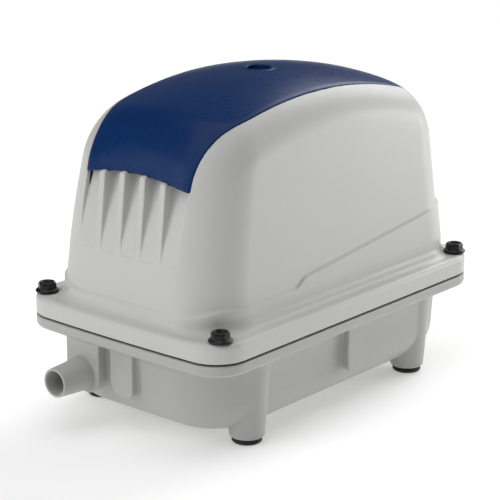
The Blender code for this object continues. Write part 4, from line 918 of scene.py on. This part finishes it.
def bolts():
    count = 96
    seat = FLANGE_TOP + 0.3
    head = hexagon(10.2, count, 5.6)
    for number, (side_x, side_y) in enumerate(CORNERS, 1):
        centre = (side_x * BOLT_X, side_y * BOLT_Y)
        stations = [
            (circle(2.6, count), BOLT_TIP_Z), (circle(3.0, count), BOLT_THREAD_Z), (circle(3.0, count), seat),
            (circle(6.8, count), seat), (circle(7.1, count), seat + 0.3), (circle(7.1, count), seat + 0.9),
            (circle(6.8, count), seat + 1.25), (circle(6.0, count), seat + 1.7), (head * 1.02, seat + 2.1),
            (head, seat + 2.5), (head, seat + 4.4), (head * 0.985, seat + 4.9), (head * 0.93, seat + 5.4),
            (circle(4.7, count), seat + 5.75), (circle(4.1, count), seat + 5.9),
            (circle(3.5, count), seat + 5.8), (circle(3.1, count), seat + 5.4),
            (circle(2.9, count), seat + 4.9), (circle(2.2, count), seat + 4.75),
            (circle(0.8, count), seat + 4.7),
        ]
        loops = [along(2, outline, z, centre) for outline, z in stations]
        piece = lofted(f"fine_cover_bolt_{number}", loops, FINISHES["black_steel"], sharp=50.0)
        stand_in(piece, f"cover_bolt_{number}", "pump")


def feet():
    top = LEG_BOTTOM - 0.3
    base = FOOT_BOTTOM
    places = [(end * LEG_X, side * LEG_Y) for end in (-1, 1) for side in (-1, 1)]
    for number, centre in enumerate(places, 1):
        profile = [(0.5, base + 0.35), (6.0, base + 0.35), (6.4, base), (8.1, base),
                   (FOOT_RADIUS, base + 0.9), (FOOT_RADIUS, top - 0.7), (FOOT_RADIUS - 0.5, top),
                   (FOOT_STUD_RADIUS, top),
                   (FOOT_STUD_RADIUS, FOOT_STUD_TOP - 0.8), (2.8, FOOT_STUD_TOP), (0.5, FOOT_STUD_TOP)]
        piece = turned(f"fine_rubber_foot_{number}", 2, profile, centre, FINISHES["black_rubber"])
        stand_in(piece, f"rubber_foot_{number}", "pump")


def outlet():
    root = OUTLET_BLOCK_X - 0.02
    profile = [(OUTLET_BORE, OUTLET_MOUTH_X), (OUTLET_RADIUS - 0.2, OUTLET_MOUTH_X),
               (OUTLET_ROOT_RADIUS, root - 0.3), (OUTLET_ROOT_RADIUS, root), (OUTLET_RADIUS, root),
               (OUTLET_RADIUS, OUTLET_INNER_X), (OUTLET_BORE, OUTLET_INNER_X)]
    centre = (OUTLET_Y, OUTLET_Z)
    piece = turned("fine_outlet_spigot", 0, profile, centre, FINISHES["tank_plastic"], 96, True, 0.7)
    stand_in(piece, "outlet_spigot", "pump")


def finer_turned(node, body, axis, profile, centre, ring=True):
    slot = SLOTS[node]
    piece = turned(f"fine_{node}", axis, profile, centre, FINISHES[slot], 64, ring)
    stand_in(piece, node, body)


def round_pieces():
    """Turned pieces inside the housing and the cord gland, with many sides and eased edges."""
    discs = (("diaphragm_ring", "pump", RING_FACES, RING_RADIUS, RING_BORE),
             ("inner_disc", "vibrator", INNER_DISC_FACES, DISC_RADIUS, DISC_BORE),
             ("outer_disc", "vibrator", OUTER_DISC_FACES, DISC_RADIUS, DISC_BORE))
    for side, tag in ((-1, "left"), (1, "right")):
        for kind, body, (near, far), outer, bore in discs:
            profile = [(bore, side * near), (outer, side * near), (outer, side * far), (bore, side * far)]
            finer_turned(f"{kind}_{tag}", body, 0, profile, (0.0, MOTOR_Z))
        profile = [(TUBE_BORE, TUBE_BOTTOM), (TUBE_RADIUS, TUBE_BOTTOM), (TUBE_RADIUS, TUBE_TOP),
                   (TUBE_BORE, TUBE_TOP)]
        finer_turned(f"delivery_tube_{tag}", "pump", 2, profile, (side * TUBE_X, 0.0))
    middle = (DAMPER_LOW + DAMPER_HIGH) / 2
    waist = DAMPER_RADIUS - DAMPER_WAIST_DEPTH
    profile = [(DAMPER_RADIUS, DAMPER_LOW), (DAMPER_RADIUS, DAMPER_LOW + DAMPER_BAND),
               (waist, middle - DAMPER_WAIST_HALF), (waist, middle + DAMPER_WAIST_HALF),
               (DAMPER_RADIUS, DAMPER_HIGH - DAMPER_BAND), (DAMPER_RADIUS, DAMPER_HIGH)]
    for number, (side_x, side_y) in enumerate(CORNERS, 1):
        centre = (side_x * DAMPER_X, side_y * DAMPER_Y)
        finer_turned(f"rubber_damper_{number}", "pump", 2, profile, centre, False)
    profile = [(GLAND_BORE, GLAND_INNER_X), (GLAND_NECK_RADIUS, GLAND_INNER_X),
               (GLAND_NECK_RADIUS, GLAND_SEAT_X), (GLAND_COLLAR_RADIUS, GLAND_SEAT_X),
               (GLAND_COLLAR_RADIUS, GLAND_SEAT_X + 2.0),
               (GLAND_COLLAR_RADIUS - 0.9, GLAND_END_X), (GLAND_BORE, GLAND_END_X)]
    finer_turned("cord_gland", "pump", 0, profile, (GLAND_Y, GLAND_Z))


def diaphragms():
    """Each diaphragm as sectors that reach from the rod's discs to the clamp ring, with a rolled section
    between them.
    """
    rolled = np.linspace(ROLL_INNER, ROLL_OUTER, ROLL_STEPS)
    radii = np.concatenate([[DISC_BORE, DIAPHRAGM_HUB], rolled, [DIAPHRAGM_EDGE, RING_RADIUS]])
    share = np.clip((radii - ROLL_INNER) / (ROLL_OUTER - ROLL_INNER), 0.0, 1.0)
    rise = ROLL_HEIGHT * np.sin(np.pi * share) ** 2
    half = math.pi / DIAPHRAGM_SECTORS
    for side, tag in ((-1, "left"), (1, "right")):
        node = f"diaphragm_{tag}"
        low, high = DIAPHRAGM_FACES
        across = np.concatenate([radii, radii[::-1]])
        place = side * np.concatenate([low - rise, (high - rise)[::-1]])
        for sector in range(DIAPHRAGM_SECTORS):
            middle = 2 * half * sector
            loops = []
            for turn in np.linspace(middle - half, middle + half, SECTOR_STEPS):
                y = across * math.cos(turn)
                z = MOTOR_Z + across * math.sin(turn)
                loops.append(np.stack([place, y, z], axis=-1))
            piece = lofted(f"fine_{node}_{sector + 1}", loops, FINISHES[SLOTS[node]])
            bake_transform(piece)
            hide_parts(node)


def carried_over():
    """Every CAD node that stays in view takes its slot's finish, with its hard edges eased."""
    for name, node in frame["nodes"].items():
        if node.hide_render:
            continue
        node.data.materials.clear()
        node.data.materials.append(FINISHES[SLOTS[name]])
        edges = node.modifiers.new("eased_edges", "BEVEL")
        edges.width = EASED_WIDTH * MM
        edges.segments = 2
        edges.limit_method = "ANGLE"
        edges.angle_limit = math.radians(EASED_FROM)


shells()
bolts()
feet()
outlet()
round_pieces()
diaphragms()
carried_over()


# Studio

FLOOR_HALF = 8.0
FLOOR_GLOW = 0.31
WORLD_LEVEL = 0.05


def aim(light, place, target):
    light.location = place
    light.rotation_euler = (Vector(target) - Vector(place)).to_track_quat("-Z", "Y").to_euler()
    bpy.context.scene.collection.objects.link(light)


def distant_light(name, direction, spread, level):
    """Light of even strength from one side, as soft as its spread in degrees."""
    data = bpy.data.lights.new(name, "SUN")
    data.angle = math.radians(spread)
    data.energy = level * math.pi
    aim(bpy.data.objects.new(name, data), direction, (0.0, 0.0, 0.0))


def softbox(name, place, size, power, target):
    data = bpy.data.lights.new(name, "AREA")
    data.shape = "RECTANGLE"
    data.size, data.size_y = size
    data.energy = power
    aim(bpy.data.objects.new(name, data), place, target)


def studio():
    mesh = bpy.data.meshes.new("floor")
    outline = [(end * FLOOR_HALF, side * FLOOR_HALF, 0.0) for end, side in CORNERS]
    mesh.from_pydata(outline, [], [(0, 1, 2, 3)])
    paper = moulded_plastic("floor_paper", (0.85, 0.85, 0.85), 0.9, 0.02, 0.004)
    shader = paper.node_tree.nodes["Principled BSDF"]
    shader.inputs["Emission Color"].default_value = (1.0, 1.0, 1.0, 1.0)
    shader.inputs["Emission Strength"].default_value = FLOOR_GLOW
    floor = link("floor", mesh, paper)
    world = bpy.data.worlds.new("studio")
    world.use_nodes = True
    bpy.context.scene.world = world
    tree = world.node_tree
    dim = tree.nodes["Background"]
    dim.inputs["Color"].default_value = (1.0, 1.0, 1.0, 1.0)
    dim.inputs["Strength"].default_value = WORLD_LEVEL
    backdrop = tree.nodes.new("ShaderNodeBackground")
    backdrop.inputs["Color"].default_value = (1.0, 1.0, 1.0, 1.0)
    backdrop.inputs["Strength"].default_value = 1.0
    path = tree.nodes.new("ShaderNodeLightPath")
    mix = tree.nodes.new("ShaderNodeMixShader")
    tree.links.new(path.outputs["Is Camera Ray"], mix.inputs["Fac"])
    tree.links.new(dim.outputs["Background"], mix.inputs[1])
    tree.links.new(backdrop.outputs["Background"], mix.inputs[2])
    tree.links.new(mix.outputs["Shader"], tree.nodes["World Output"].inputs["Surface"])
    distant_light("overhead", (0.0, 0.0, 1.0), 60.0, 0.33)
    distant_light("far_high", (0.90, 0.10, 0.60), 40.0, 0.48)
    distant_light("left_high", (-0.70, 0.10, 0.75), 50.0, 0.20)
    distant_light("right_low", (1.00, -0.35, 0.10), 40.0, 0.12)
    distant_light("back", (0.76, 0.64, 0.40), 60.0, 0.02)
    softbox("right_softbox", (0.90, -0.50, 0.15), (0.4, 0.4), 3.2, (0.12, -0.05, 0.08))
    softbox("left_softbox", (-0.80, 0.35, 0.35), (0.5, 0.5), 1.7, (-0.1, 0.0, 0.1))
    bpy.context.scene.view_settings.view_transform = "Standard"


studio()
